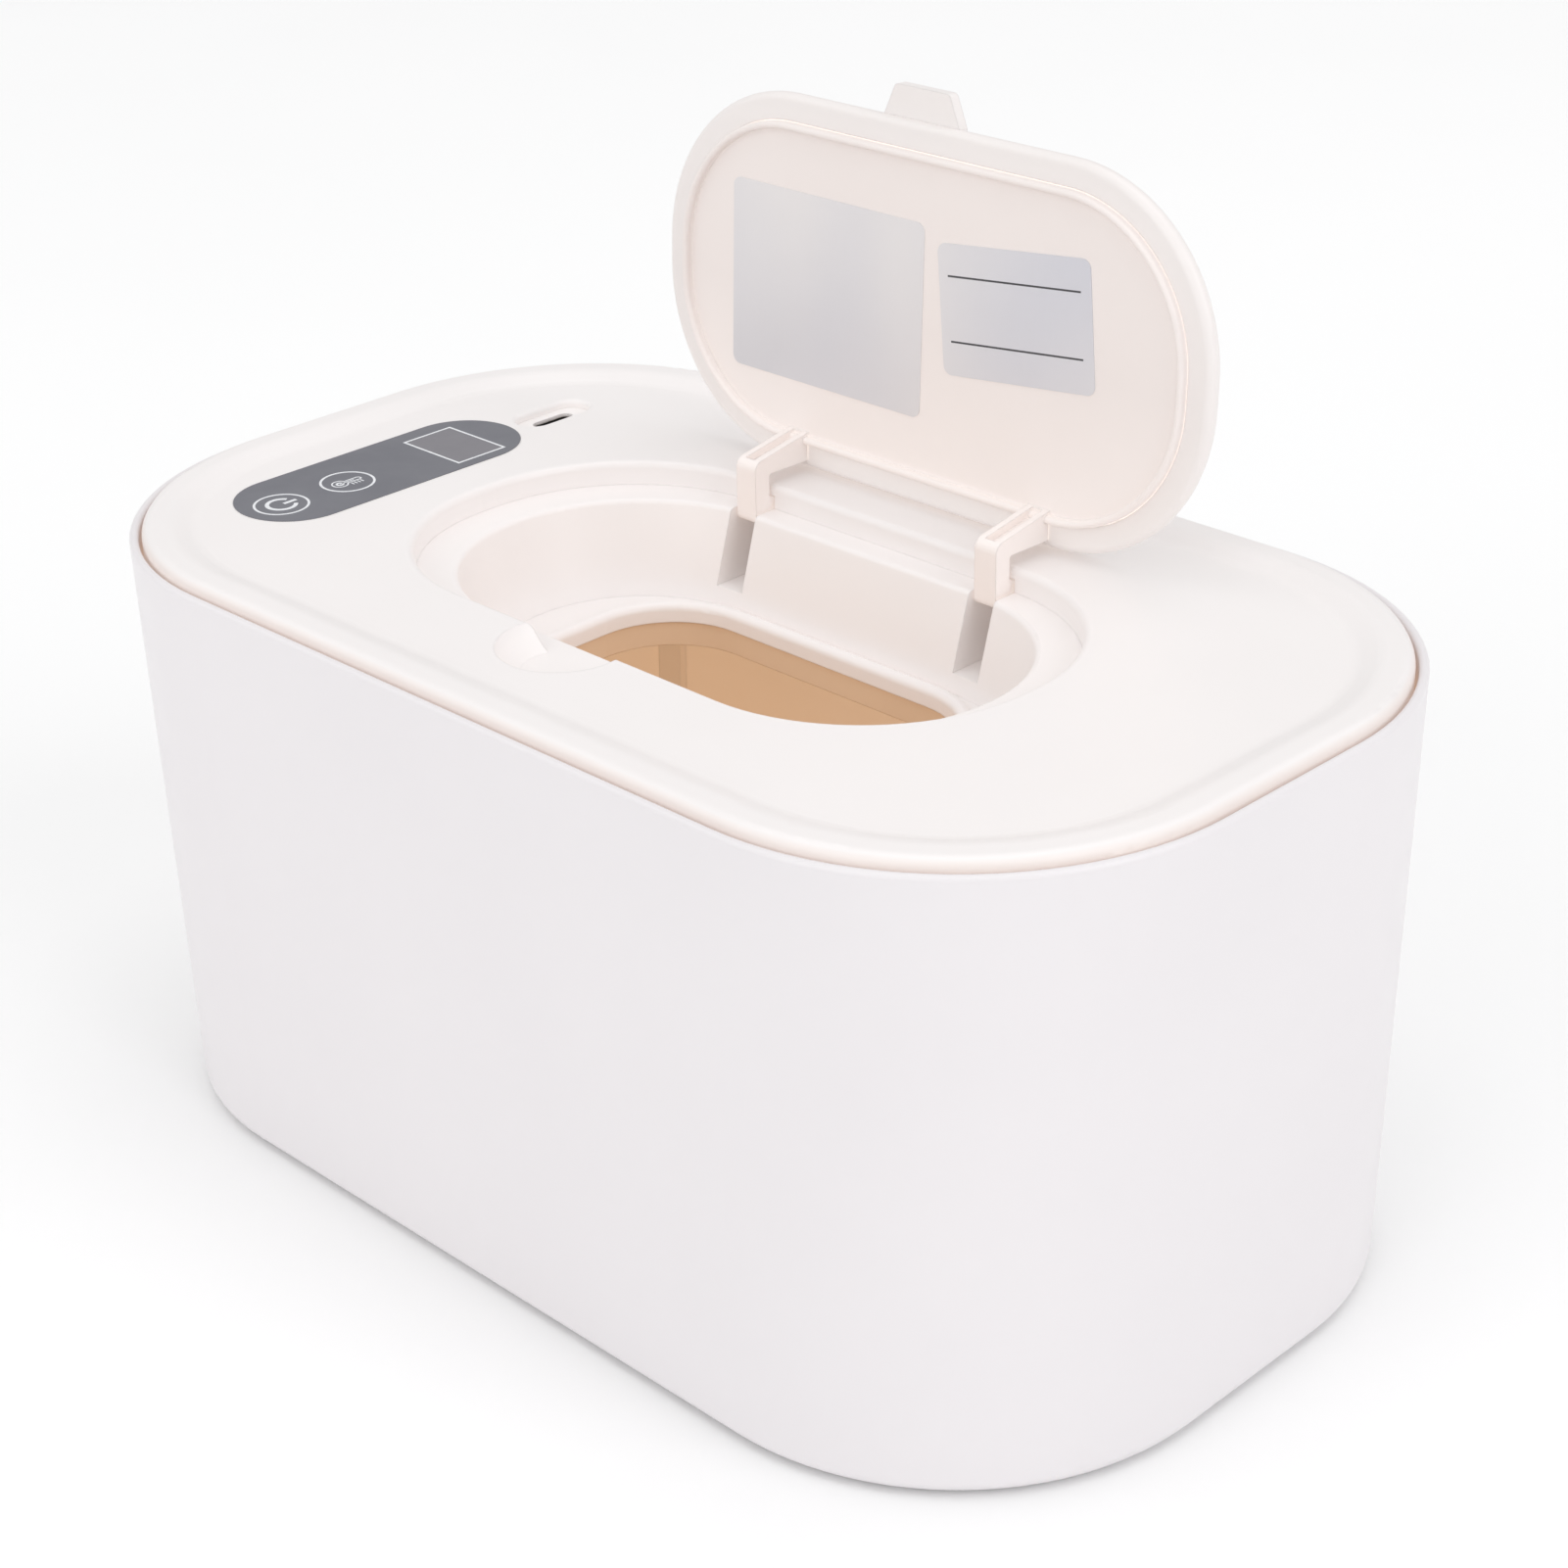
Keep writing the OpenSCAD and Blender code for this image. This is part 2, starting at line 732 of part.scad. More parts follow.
module slot_space(side) {
    front = well_y + mouth_d / 2;
    translate([well_x + side * arm_x - slot_w / 2, front, top_z - slot_drop])
        cube([slot_w, pocket_end - front, slot_drop - roof_t]);
}

module pin(side, d) {
    long = slot_w + 2 * pocket_wall;
    translate([well_x + side * arm_x - long / 2, pivot_y, pivot_z])
        rotate([0, 90, 0])
            cylinder(d = d, h = long);
}

module post(length) {
    difference() {
        translate([0, 0, -length])
            cylinder(d = post_d, h = length - cover_skin / 2);
        translate([0, 0, -length - over])
            cylinder(d = pilot_d, h = screw_l + over);
    }
}

module stadium(l, w) {
    square([w, l - w], center = true);
    for (side = [-1, 1])
        translate([0, side * (l - w) / 2])
            circle(d = w);
}

module top_cover() {
    window_y = panel_y + window_off;
    color([0.955, 0.94, 0.925])
        difference() {
            union() {
                difference() {
                    union() {
                        cover_plate();
                        well_block();
                        scoop_block();
                        for (side = [-1, 1])
                            slot_pocket(side);
                    }
                    well_space();
                }
                mouth_bead();
                at_board_posts()
                    post(board_drop);
                at_housing_posts()
                    post(housing_drop - housing_wall);
                at_ears()
                    post(well_under);
            }
            for (side = [-1, 1]) {
                slot_space(side);
                pin(side, pin_d);
            }
            translate([panel_x, panel_y, top_z + panel_proud - panel_t])
                linear_extrude(panel_t + over)
                    stadium(panel_l, panel_w);
            translate([panel_x - window_w / 2, window_y - window_l / 2, top_z - cover_skin - over])
                cube([window_w, window_l, cover_skin + 2 * over]);
            translate([inlet_x, inlet_y, top_z]) {
                slab(recess_w, recess_l, recess_r, -recess_drop, over);
                around(recess_w, recess_l, recess_r)
                    difference() {
                        translate([-recess_edge_r, -recess_edge_r])
                            square([2 * recess_edge_r, 2 * recess_edge_r]);
                        translate([recess_edge_r, -recess_edge_r])
                            circle(recess_edge_r);
                    }
                translate([0, 0, -cover_skin - over])
                    linear_extrude(cover_skin + over)
                        stadium(socket_l - 2 * socket_t, socket_w - 2 * socket_t);
            }
        }
}

module control_panel() {
    color([0.46, 0.47, 0.49])
        translate([panel_x, panel_y, top_z + panel_proud - panel_t])
            linear_extrude(panel_t)
                stadium(panel_l, panel_w);
}

// ---- Electronics ----

module control_board() {
    color([0.10, 0.32, 0.18])
        difference() {
            translate([panel_x - board_w / 2, -board_l / 2, board_z - board_t])
                cube([board_w, board_l, board_t]);
            at_board_posts()
                translate([0, 0, -board_drop - board_t - over])
                    cylinder(d = screw_hole_d, h = board_t + 2 * over);
        }
}

module board_screws() {
    color([0.75, 0.75, 0.77])
        at_board_posts()
            translate([0, 0, -board_drop - board_t - head_h])
                screw();
}

module display_module() {
    color([0.12, 0.12, 0.13])
        translate([panel_x, panel_y + window_off, 0])
            translate([window_gap - window_w / 2, window_gap - window_l / 2, board_z])
                cube([window_w - 2 * window_gap, window_l - 2 * window_gap,
                    board_drop + panel_proud - panel_t]);
}

module touch_pad(off) {
    color([0.25, 0.25, 0.26])
        translate([panel_x, panel_y + off, board_z])
            cylinder(d = pad_d, h = board_drop - cover_skin);
}

module touch_pad_power() { touch_pad(power_off); }
module touch_pad_temperature() { touch_pad(heat_off); }

module usb_socket_shell() {
    color([0.72, 0.72, 0.74])
        translate([inlet_x, inlet_y, board_z])
            difference() {
                linear_extrude(board_drop - socket_top)
                    stadium(socket_l, socket_w);
                translate([0, 0, socket_t])
                    linear_extrude(board_drop)
                        stadium(socket_l - 2 * socket_t, socket_w - 2 * socket_t);
            }
}

module usb_socket_tongue() {
    color([0.08, 0.08, 0.08])
        translate([inlet_x - tongue_t / 2, inlet_y - tongue_l / 2, board_z + socket_t])
            cube([tongue_t, tongue_l, board_drop - socket_top - socket_t - tongue_drop]);
}

module housing_form(in, z0, z1) {
    intersection() {
        slab(housing_w - 2 * in, housing_d - 2 * in, housing_r - in, z0, z1);
        translate([-tub_w, -tub_d, z0 - over])
            cube([tub_w + housing_x - in, 2 * tub_d, z1 - z0 + 2 * over]);
    }
}

module lead_paths(d) {
    bend_x = housing_x - housing_wall - lead_bend - lead_off;
    for (y = [-sensor_y, -lead_y, lead_y, sensor_y])
        translate([0, well_y + y, 0]) {
            translate([bend_x + lead_bend, 0, lead_z])
                rotate([0, 90, 0])
                    cylinder(d = d, h = lead_end - bend_x - lead_bend);
            translate([bend_x + lead_bend, 0, lead_z + lead_bend])
                rotate([90, 0, 0])
                    rotate([0, 0, 180])
                        rotate_extrude(angle = 90)
                            translate([lead_bend, 0])
                                circle(d = d);
            translate([bend_x, 0, lead_z + lead_bend])
                cylinder(d = d, h = board_z - board_t - lead_z - lead_bend);
        }
}

module electronics_housing() {
    color([0.93, 0.92, 0.90])
        difference() {
            housing_form(0, top_z - housing_drop, top_z - cover_skin);
            housing_form(housing_wall, top_z - housing_drop + housing_wall, top_z);
            at_housing_posts()
                translate([0, 0, -housing_drop - over])
                    cylinder(d = screw_hole_d, h = housing_wall + 2 * over);
            lead_paths(lead_hole_d);
        }
}

module housing_screws() {
    color([0.75, 0.75, 0.77])
        at_housing_posts()
            translate([0, 0, -housing_drop - head_h])
                screw();
}

// ---- Heater ----

module mouth_hole(gap, z0, z1) {
    slab(mouth_w + 2 * gap, mouth_d + 2 * gap, mouth_r + gap, z0, z1);
}

module heater_frame() {
    color([0.93, 0.92, 0.90])
        difference() {
            union() {
                translate([well_x, well_y, 0])
                    slab(frame_w, frame_d, frame_r, frame_top - frame_t, ear_z);
                for (sx = [-1, 1], sy = [-1, 1])
                    translate([well_x + sx * ear_x, well_y + sy * ear_y, ear_z - ear_t]) {
                        cylinder(d = post_d, h = ear_t);
                        translate([-post_r, sy > 0 ? -post_r - over : 0, 0])
                            cube([post_d, post_r + over, ear_t]);
                    }
            }
            translate([well_x, well_y, 0]) {
                slab(frame_w - 2 * frame_wall, frame_d - 2 * frame_wall, frame_r - frame_wall,
                    frame_top, ear_z + over);
                slab(frame_w - 2 * (frame_wall + frame_ledge), frame_d - 2 * (frame_wall + frame_ledge),
                    frame_r - frame_wall - frame_ledge, frame_top - frame_t - over, frame_top + over);
            }
            at_ears()
                translate([0, 0, -well_under - ear_t - over])
                    cylinder(d = screw_hole_d, h = ear_t + 2 * over);
            lead_paths(lead_hole_d);
        }
}

module frame_screws() {
    color([0.75, 0.75, 0.77])
        at_ears()
            translate([0, 0, -well_under - ear_t - head_h])
                screw();
}

module heater_plate() {
    color([0.84, 0.72, 0.58])
        translate([well_x, well_y, 0])
            difference() {
                union() {
                    slab(plate_w, plate_d, plate_r, frame_top, plate_top);
                    mouth_hole(plate_mouth_gap + plate_t, frame_top, collar_top);
                }
                mouth_hole(plate_mouth_gap, frame_top - over, collar_top + over);
            }
}

module heater_film() {
    color([0.80, 0.52, 0.18])
        translate([well_x, well_y, 0])
            difference() {
                slab(plate_w, plate_d, plate_r, plate_top, film_top);
                mouth_hole(plate_mouth_gap + film_back, plate_top - over, film_top + over);
            }
}

module insulation_pad() {
    color([0.30, 0.30, 0.32])
        difference() {
            translate([well_x, well_y, 0])
                difference() {
                    slab(plate_w, plate_d, plate_r, film_top, film_top + pad_t);
                    mouth_hole(plate_mouth_gap + film_back, film_top - over, film_top + pad_t + over);
                }
            for (side = [-1, 1])
                translate([well_x - plate_w / 2 - over, well_y + side * sensor_y - sensor_d,
                    film_top - over])
                    cube([sensor_in + sensor_l + 2 * over, 2 * sensor_d, pad_t + 2 * over]);
            lead_paths(lead_hole_d);
        }
}

module sensor(side) {
    translate([lead_end, well_y + side * sensor_y, film_top + sensor_d / 2])
        rotate([0, 90, 0])
            cylinder(d = sensor_d, h = sensor_l);
}

module thermistor() {
    color([0.15, 0.15, 0.16])
        sensor(1);
}

module thermal_fuse() {
    color([0.85, 0.85, 0.82])
        sensor(-1);
}

module heater_leads() {
    color([0.75, 0.12, 0.10])
        lead_paths(lead_d);
}

// ---- Hinge and lid ----

module hinge_pin_left() {
    color([0.72, 0.72, 0.74])
        pin(-1, pin_d);
}

module hinge_pin_right() {
    color([0.72, 0.72, 0.74])
        pin(1, pin_d);
}

// Trapezoid with rounded tip corners, drawn out from the lid's front edge.
module tab_outline() {
    flare = atan((tab_w - tab_tip_w) / 2 / tab_l);
    tip_x = tab_tip_w / 2 - tab_tip_r * (1 - sin(flare)) / cos(flare);
    side_x = tip_x + tab_tip_r * cos(flare);
    side_y = tab_tip_r * (1 - sin(flare)) - tab_l;
    polygon([
        [-tab_w / 2, lid_edge_r],
        [tab_w / 2, lid_edge_r],
        [tab_w / 2, 0],
        [side_x, side_y],
        [tip_x, -tab_l],
        [-tip_x, -tab_l],
        [-side_x, side_y],
        [-tab_w / 2, 0]
    ]);
    for (side = [-1, 1])
        translate([side * tip_x, tab_tip_r - tab_l])
            circle(tab_tip_r);
}

module lid_shell() {
    band = lid_edge_r + 2 * over;
    color([0.955, 0.94, 0.925])
        as_open_lid()
            difference() {
                union() {
                    filled(lid_w, lid_d, lid_r, lid_face_z, lid_rise, band) {
                        union() {
                            polygon([
                                [-band, lid_face_z],
                                [-lid_under_r, lid_face_z],
                                [0, lid_wide_z],
                                [-lid_edge_r, lid_rise],
                                [-band, lid_rise]
                            ]);
                            intersection() {
                                translate([-lid_edge_r, lid_wide_z])
                                    circle(lid_edge_r);
                                translate([-band, lid_wide_z])
                                    square([band, lid_edge_r]);
                            }
                            translate([-lid_under_r, lid_wide_z])
                                circle(lid_under_r);
                        }
                    }
                    translate([tab_off, -lid_d / 2, lid_wide_z])
                        linear_extrude(tab_t)
                            tab_outline();
                }
                slab(lid_w - 2 * liner_in, lid_d - 2 * liner_in, lid_r - liner_in,
                    lid_face_z - over, lid_rise - lid_skin);
            }
}

// Side view of an arm on the open lid: x is back from the pin, y is up from it.
module arm_side() {
    face = pivot_drop + lid_face_z;
    root = face + liner_t - fit_gap;
    front = -arm_reach;
    inner = arm_t - arm_reach;
    edge_up = pivot_back + liner_in + fit_gap - lid_d / 2;
    difference() {
        union() {
            circle(eye_r);
            translate([front + elbow_r, bar_under + bar_t - elbow_r])
                circle(elbow_r);
            translate([front + toe_r, toe_up + toe_r])
                circle(toe_r);
            polygon([
                [root, bar_under + bar_root_t],
                [front + elbow_r, bar_under + bar_t],
                [front, bar_under + bar_t - elbow_r],
                [front, toe_up + toe_r],
                [front + toe_r, toe_up],
                [0, -eye_r],
                [0, eye_r],
                [inner + inner_cut, eye_r - fit_gap],
                [inner, eye_r - fit_gap + inner_cut / 2],
                [inner, bar_under],
                [face + fit_gap, bar_under - fit_gap],
                [face + fit_gap, edge_up],
                [root, edge_up]
            ]);
        }
        circle(pin_d / 2 + pin_play);
    }
}

module arm_groove() {
    face = pivot_drop + lid_face_z;
    front = -arm_reach;
    polygon([
        [face + fit_gap, bar_under + bar_root_t + over],
        [front + groove_in, bar_under + bar_root_t + over],
        [front + groove_in, bar_under + bar_t - groove_drop],
        [face + fit_gap, bar_under + bar_root_t - groove_drop]
    ]);
}

module lid_arm(side) {
    translate([well_x + side * arm_x, pivot_y, pivot_z])
        difference() {
            rotate([90, 0, 90])
                linear_extrude(arm_w, center = true)
                    arm_side();
            rotate([90, 0, 90])
                linear_extrude(arm_w - 2 * flange_w, center = true)
                    arm_groove();
        }
}

module lid_liner() {
    color([0.94, 0.91, 0.89])
        union() {
            as_open_lid() {
                slab(lid_w - 2 * lip_in, lid_d - 2 * lip_in, lid_r - lip_in,
                    lid_face_z, lid_face_z + liner_t);
                around(lid_w, lid_d, lid_r) {
                    translate([-lip_in - lip_w, lip_z + lip_w / 2])
                        square([lip_w, lid_face_z - lip_z - lip_w / 2 + liner_t]);
                    translate([-lip_in - lip_w / 2, lip_z + lip_w / 2])
                        circle(lip_w / 2);
                }
                around(lid_w, lid_d, lid_r)
                    translate([-lip_in - lip_w, lid_face_z])
                        square([lip_w, lid_rise - lid_skin - lid_face_z]);
            }
            for (side = [-1, 1])
                lid_arm(side);
        }
}

module label(x, y, w, h, turn) {
    color([0.78, 0.79, 0.82])
        as_open_lid()
            translate([x, -y, lid_face_z - label_t])
                rotate([0, 0, -turn])
                    linear_extrude(label_t)
                        outline(w, h, label_r);
}

module label_large() { label(label_a_x, label_a_y, label_a_w, label_a_h, 0); }
module label_small() { label(label_b_x, label_b_y, label_b_w, label_b_h, label_b_turn); }

body_shell();
foot_front_left();
foot_front_right();
foot_rear_left();
foot_rear_right();
top_cover();
control_panel();
display_module();
touch_pad_power();
touch_pad_temperature();
control_board();
board_screws();
usb_socket_shell();
usb_socket_tongue();
electronics_housing();
housing_screws();
heater_frame();
frame_screws();
heater_plate();
heater_film();
insulation_pad();
thermistor();
thermal_fuse();
heater_leads();
hinge_pin_left();
hinge_pin_right();
lid_shell();
lid_liner();
label_large();
label_small();
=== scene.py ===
"""Baby wipe warmer: finishes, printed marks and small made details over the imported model."""

import json
import logging
import math
from abc import ABC, abstractmethod
from collections.abc import Callable, Iterator, Sequence
from dataclasses import dataclass
from enum import Enum
from typing import Any

import bmesh
import bpy
from mathutils import Matrix, Vector

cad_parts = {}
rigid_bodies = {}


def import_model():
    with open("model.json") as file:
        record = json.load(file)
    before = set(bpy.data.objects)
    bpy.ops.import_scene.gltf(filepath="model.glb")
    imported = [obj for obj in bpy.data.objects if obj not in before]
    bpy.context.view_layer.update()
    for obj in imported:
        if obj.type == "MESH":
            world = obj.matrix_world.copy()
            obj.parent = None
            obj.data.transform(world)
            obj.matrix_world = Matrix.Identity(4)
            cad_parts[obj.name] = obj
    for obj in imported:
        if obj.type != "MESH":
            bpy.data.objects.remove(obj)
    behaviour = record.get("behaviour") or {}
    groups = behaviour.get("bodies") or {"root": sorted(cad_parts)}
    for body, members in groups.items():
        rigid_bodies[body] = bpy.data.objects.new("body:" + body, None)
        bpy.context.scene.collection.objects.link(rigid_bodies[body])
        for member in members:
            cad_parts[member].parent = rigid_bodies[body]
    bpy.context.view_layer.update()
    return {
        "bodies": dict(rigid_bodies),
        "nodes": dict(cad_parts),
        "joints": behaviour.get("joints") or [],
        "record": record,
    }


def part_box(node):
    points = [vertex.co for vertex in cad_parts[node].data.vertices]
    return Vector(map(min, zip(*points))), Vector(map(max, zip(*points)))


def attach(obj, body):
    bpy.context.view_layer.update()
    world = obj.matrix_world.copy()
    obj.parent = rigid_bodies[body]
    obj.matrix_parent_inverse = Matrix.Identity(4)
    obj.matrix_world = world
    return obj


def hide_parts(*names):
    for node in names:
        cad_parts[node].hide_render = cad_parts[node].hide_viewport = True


LOG = logging.getLogger("wipe_warmer")
MM = 0.001

Triple = tuple[float, float, float]
Colour = tuple[float, float, float]
Flat = tuple[float, float]
Ring = list[bmesh.types.BMVert]
Socket = bpy.types.NodeSocket
Stroke = tuple[Sequence[Flat], float, bool]
Placing = Callable[[float, float, float], Vector]

BLACK: Colour = (0.0, 0.0, 0.0)
WHITE: Colour = (1.0, 1.0, 1.0)
EVEN: Triple = (1.0, 1.0, 1.0)
# Where the values of a noise pattern mostly lie.
NOISE_RANGE: Flat = (0.3, 0.7)
# How open a surface is: deep in a gap, and where the gap no longer counts.
GAP_RANGE: Flat = (0.15, 0.6)
RAY_SAMPLES = 4
# The colour mixer's sockets: share, first and second colour, and the result.
MIX_INPUTS = (0, 6, 7)
MIX_OUTPUT = 2
WELD_GAP = 1e-7
SHARP_ANGLE = math.radians(35.0)
MITRE_LIMIT = 0.3
SCREW_HEAD = 2.5 * MM


# ---- Node wiring ----


class Wiring:
    """The node tree of one finish, with short calls for the nodes that it needs."""

    def __init__(self, name: str) -> None:
        """Starts a material.

        Args:
            name: the material's name.
        """
        self.material = bpy.data.materials.new(name)
        self.material.use_nodes = True
        self.tree = self.material.node_tree
        self.shader = self.tree.nodes["Principled BSDF"]

    def node(self, kind: str, **settings: object) -> bpy.types.ShaderNode:
        """Adds a node.

        Args:
            kind: the node's type, without the word ShaderNode.
            settings: attributes to set on it.

        Returns:
            The new node.
        """
        made = self.tree.nodes.new("ShaderNode" + kind)
        for key, value in settings.items():
            setattr(made, key, value)
        return made

    def join(self, source: Socket, target: Socket) -> None:
        """Links one socket to another."""
        self.tree.links.new(source, target)

    def place(self, stretch: Triple = EVEN) -> Socket:
        """Object coordinates in metres.

        Args:
            stretch: a factor on each axis.

        Returns:
            The vector socket.
        """
        coords = self.node("TexCoord").outputs["Object"]
        mapping = self.node("Mapping")
        mapping.inputs["Scale"].default_value = stretch
        self.join(coords, mapping.inputs["Vector"])
        return mapping.outputs["Vector"]

    def axes(self) -> list[Socket]:
        """A point's place along each axis, in metres.

        Returns:
            The value sockets of x, y and z.
        """
        split = self.node("SeparateXYZ")
        self.join(self.place(), split.inputs[0])
        return list(split.outputs)

    def noise(self, size_mm: float, detail: float = 2.0, stretch: Triple = EVEN) -> Socket:
        """A noise pattern.

        Args:
            size_mm: the size of its blotches.
            detail: how many finer layers it has.
            stretch: a factor on each axis.

        Returns:
            The value socket.
        """
        made = self.node("TexNoise")
        made.inputs["Scale"].default_value = 1.0 / (size_mm * MM)
        made.inputs["Detail"].default_value = detail
        self.join(self.place(stretch), made.inputs["Vector"])
        return made.outputs["Fac"]

    def span(self, value: Socket, low: float, high: float,
             start: float = NOISE_RANGE[0], end: float = NOISE_RANGE[1]) -> Socket:
        """Carries a value from one range to another.

        Args:
            value: the socket to carry over.
            low: the result at the start.
            high: the result at the end.
            start: the value that gives low.
            end: the value that gives high.

        Returns:
            The value socket.
        """
        made = self.node("MapRange")
        ends = {"From Min": start, "From Max": end, "To Min": low, "To Max": high}
        for key, number in ends.items():
            made.inputs[key].default_value = number
        self.join(value, made.inputs["Value"])
        return made.outputs["Result"]

    def tint(self, share: Socket, low: Colour | Socket, high: Colour | Socket) -> Socket:
        """Mixes two colours.

        Args:
            share: the share of the second one.
            low: the first colour or its socket.
            high: the second colour or its socket.

        Returns:
            The colour socket.
        """
        made = self.node("Mix", data_type="RGBA")
        share_in, low_in, high_in = (made.inputs[i] for i in MIX_INPUTS)
        self.join(share, share_in)
        for socket, colour in ((low_in, low), (high_in, high)):
            if isinstance(colour, tuple):
                socket.default_value = (*colour, 1.0)
            else:
                self.join(colour, socket)
        return made.outputs[MIX_OUTPUT]

    def maths(self, operation: str, first: Socket, second: float | Socket = 0.0) -> Socket:
        """One step of arithmetic.

        Args:
            operation: the name of the step.
            first: its first socket.
            second: its second socket or number.

        Returns:
            The value socket.
        """
        made = self.node("Math", operation=operation)
        self.join(first, made.inputs[0])
        if isinstance(second, float):
            made.inputs[1].default_value = second
        else:
            self.join(second, made.inputs[1])
        return made.outputs[0]

    def from_core(self, half_mm: Flat, corner_mm: float) -> Socket:
        """How far out a point lies from the core of a rounded rectangle, in metres.

        Args:
            half_mm: half the rectangle's length and half its depth.
            corner_mm: the radius of its corners, which is what its outline gives.

        Returns:
            The value socket.
        """
        squares: list[Socket] = []
        for axis, half in zip(self.axes(), half_mm):
            past = self.maths("SUBTRACT", self.maths("ABSOLUTE", axis), (half - corner_mm) * MM)
            squares.append(self.maths("POWER", self.maths("MAXIMUM", past, 0.0), 2.0))
        return self.maths("SQRT", self.maths("ADD", *squares))

    def gaps(self, reach_mm: float) -> Socket:
        """A value that is 1 deep in a narrow gap and 0 on an open face.

        Args:
            reach_mm: how far off another face still counts.

        Returns:
            The value socket.
        """
        made = self.node("AmbientOcclusion", samples=RAY_SAMPLES)
        made.inputs["Distance"].default_value = reach_mm * MM
        return self.span(made.outputs["AO"], 1.0, 0.0, *GAP_RANGE)

    def paint(self, colour: Socket) -> None:
        """Gives the surface a colour."""
        self.join(colour, self.shader.inputs["Base Color"])

    def roughen(self, pattern: Socket, low: float, high: float) -> None:
        """Varies the roughness from low to high over a noise pattern."""
        self.join(self.span(pattern, low, high), self.shader.inputs["Roughness"])

    def paint_light(self, share: Socket, colour: Colour) -> None:
        """Paints light into the surface as an emission, standing for light that the plastic lets
        in.

        Args:
            share: how much painted light there is.
            colour: its colour at a full share.
        """
        self.join(self.tint(share, BLACK, colour), self.shader.inputs["Emission Color"])
        self.fix("Emission Strength", 1.0)

    def relief(self, height: Socket, depth_mm: float, soft_edge_mm: float = 0.0) -> None:
        """Gives the surface a relief, over edges that may be softened.

        Args:
            height: the pattern of the relief.
            depth_mm: its depth.
            soft_edge_mm: the radius that sharp edges catch the light with.
        """
        bump = self.node("Bump")
        bump.inputs["Strength"].default_value = 1.0
        bump.inputs["Distance"].default_value = depth_mm * MM
        self.join(height, bump.inputs["Height"])
        if soft_edge_mm > 0.0:
            bevel = self.node("Bevel", samples=RAY_SAMPLES)
            bevel.inputs["Radius"].default_value = soft_edge_mm * MM
            self.join(bevel.outputs["Normal"], bump.inputs["Normal"])
        self.join(bump.outputs["Normal"], self.shader.inputs["Normal"])

    def fix(self, socket: str, value: float) -> None:
        """Sets a socket of the shader that is the same all over."""
        self.shader.inputs[socket].default_value = value


# ---- Finishes ----


@dataclass(frozen=True)
class Finish(ABC):
    """A finish: its name and the two tones that it varies between."""

    name: str
    tone: Colour
    shade: Colour

    def material(self) -> bpy.types.Material:
        """Builds the material.

        Returns:
            The new material.
        """
        wiring = Wiring(self.name)
        self.wire(wiring)
        return wiring.material

    def clouds(self, wiring: Wiring, size_mm: float, detail: float = 3.0,
               stretch: Triple = EVEN) -> Socket:
        """The colour as soft clouds of the two tones.

        Args:
            wiring: its tree.
            size_mm: their size.
            detail: how many finer layers they have.
            stretch: a factor on each axis.

        Returns:
            The colour socket.
        """
        share = wiring.span(wiring.noise(size_mm, detail, stretch), 0.0, 1.0)
        return wiring.tint(share, self.tone, self.shade)

    @abstractmethod
    def wire(self, wiring: Wiring) -> None:
        """Wires colour, gloss and relief in the finish's own tree."""


@dataclass(frozen=True)
class Skin(Finish):
    """An even skin: clouds of its two tones, a haze of gloss and a fine grain."""

    roughness: float = 0.36
    haze: float = 0.05
    haze_mm: float = 9.0
    haze_detail: float = 4.0
    cloud_mm: float = 45.0
    cloud_detail: float = 3.0
    grain_mm: float = 0.5
    grain_detail: float = 2.0
    grain_depth_mm: float = 0.003
    soft_edge_mm: float = 0.0

    def colour(self, wiring: Wiring) -> Socket:
        """The colour over the surface."""
        return self.clouds(wiring, self.cloud_mm, self.cloud_detail)

    def wire(self, wiring: Wiring) -> None:
        """Wires colour, gloss and relief.

        Args:
            wiring: its tree.
        """
        wiring.paint(self.colour(wiring))
        wiring.roughen(wiring.noise(self.haze_mm, self.haze_detail), self.roughness - self.haze,
                       self.roughness + self.haze)
        wiring.relief(wiring.noise(self.grain_mm, self.grain_detail), self.grain_depth_mm,
                      self.soft_edge_mm)


@dataclass(frozen=True)
class MouldedPlastic(Skin):
    """Injection-moulded plastic with a satin skin, faint flow clouds and a fine spark texture."""

    soft_edge_mm: float = 0.35
    bending: float = 1.48

    def wire(self, wiring: Wiring) -> None:
        """Wires the skin, and sets how strongly it bends light."""
        super().wire(wiring)
        wiring.fix("IOR", self.bending)


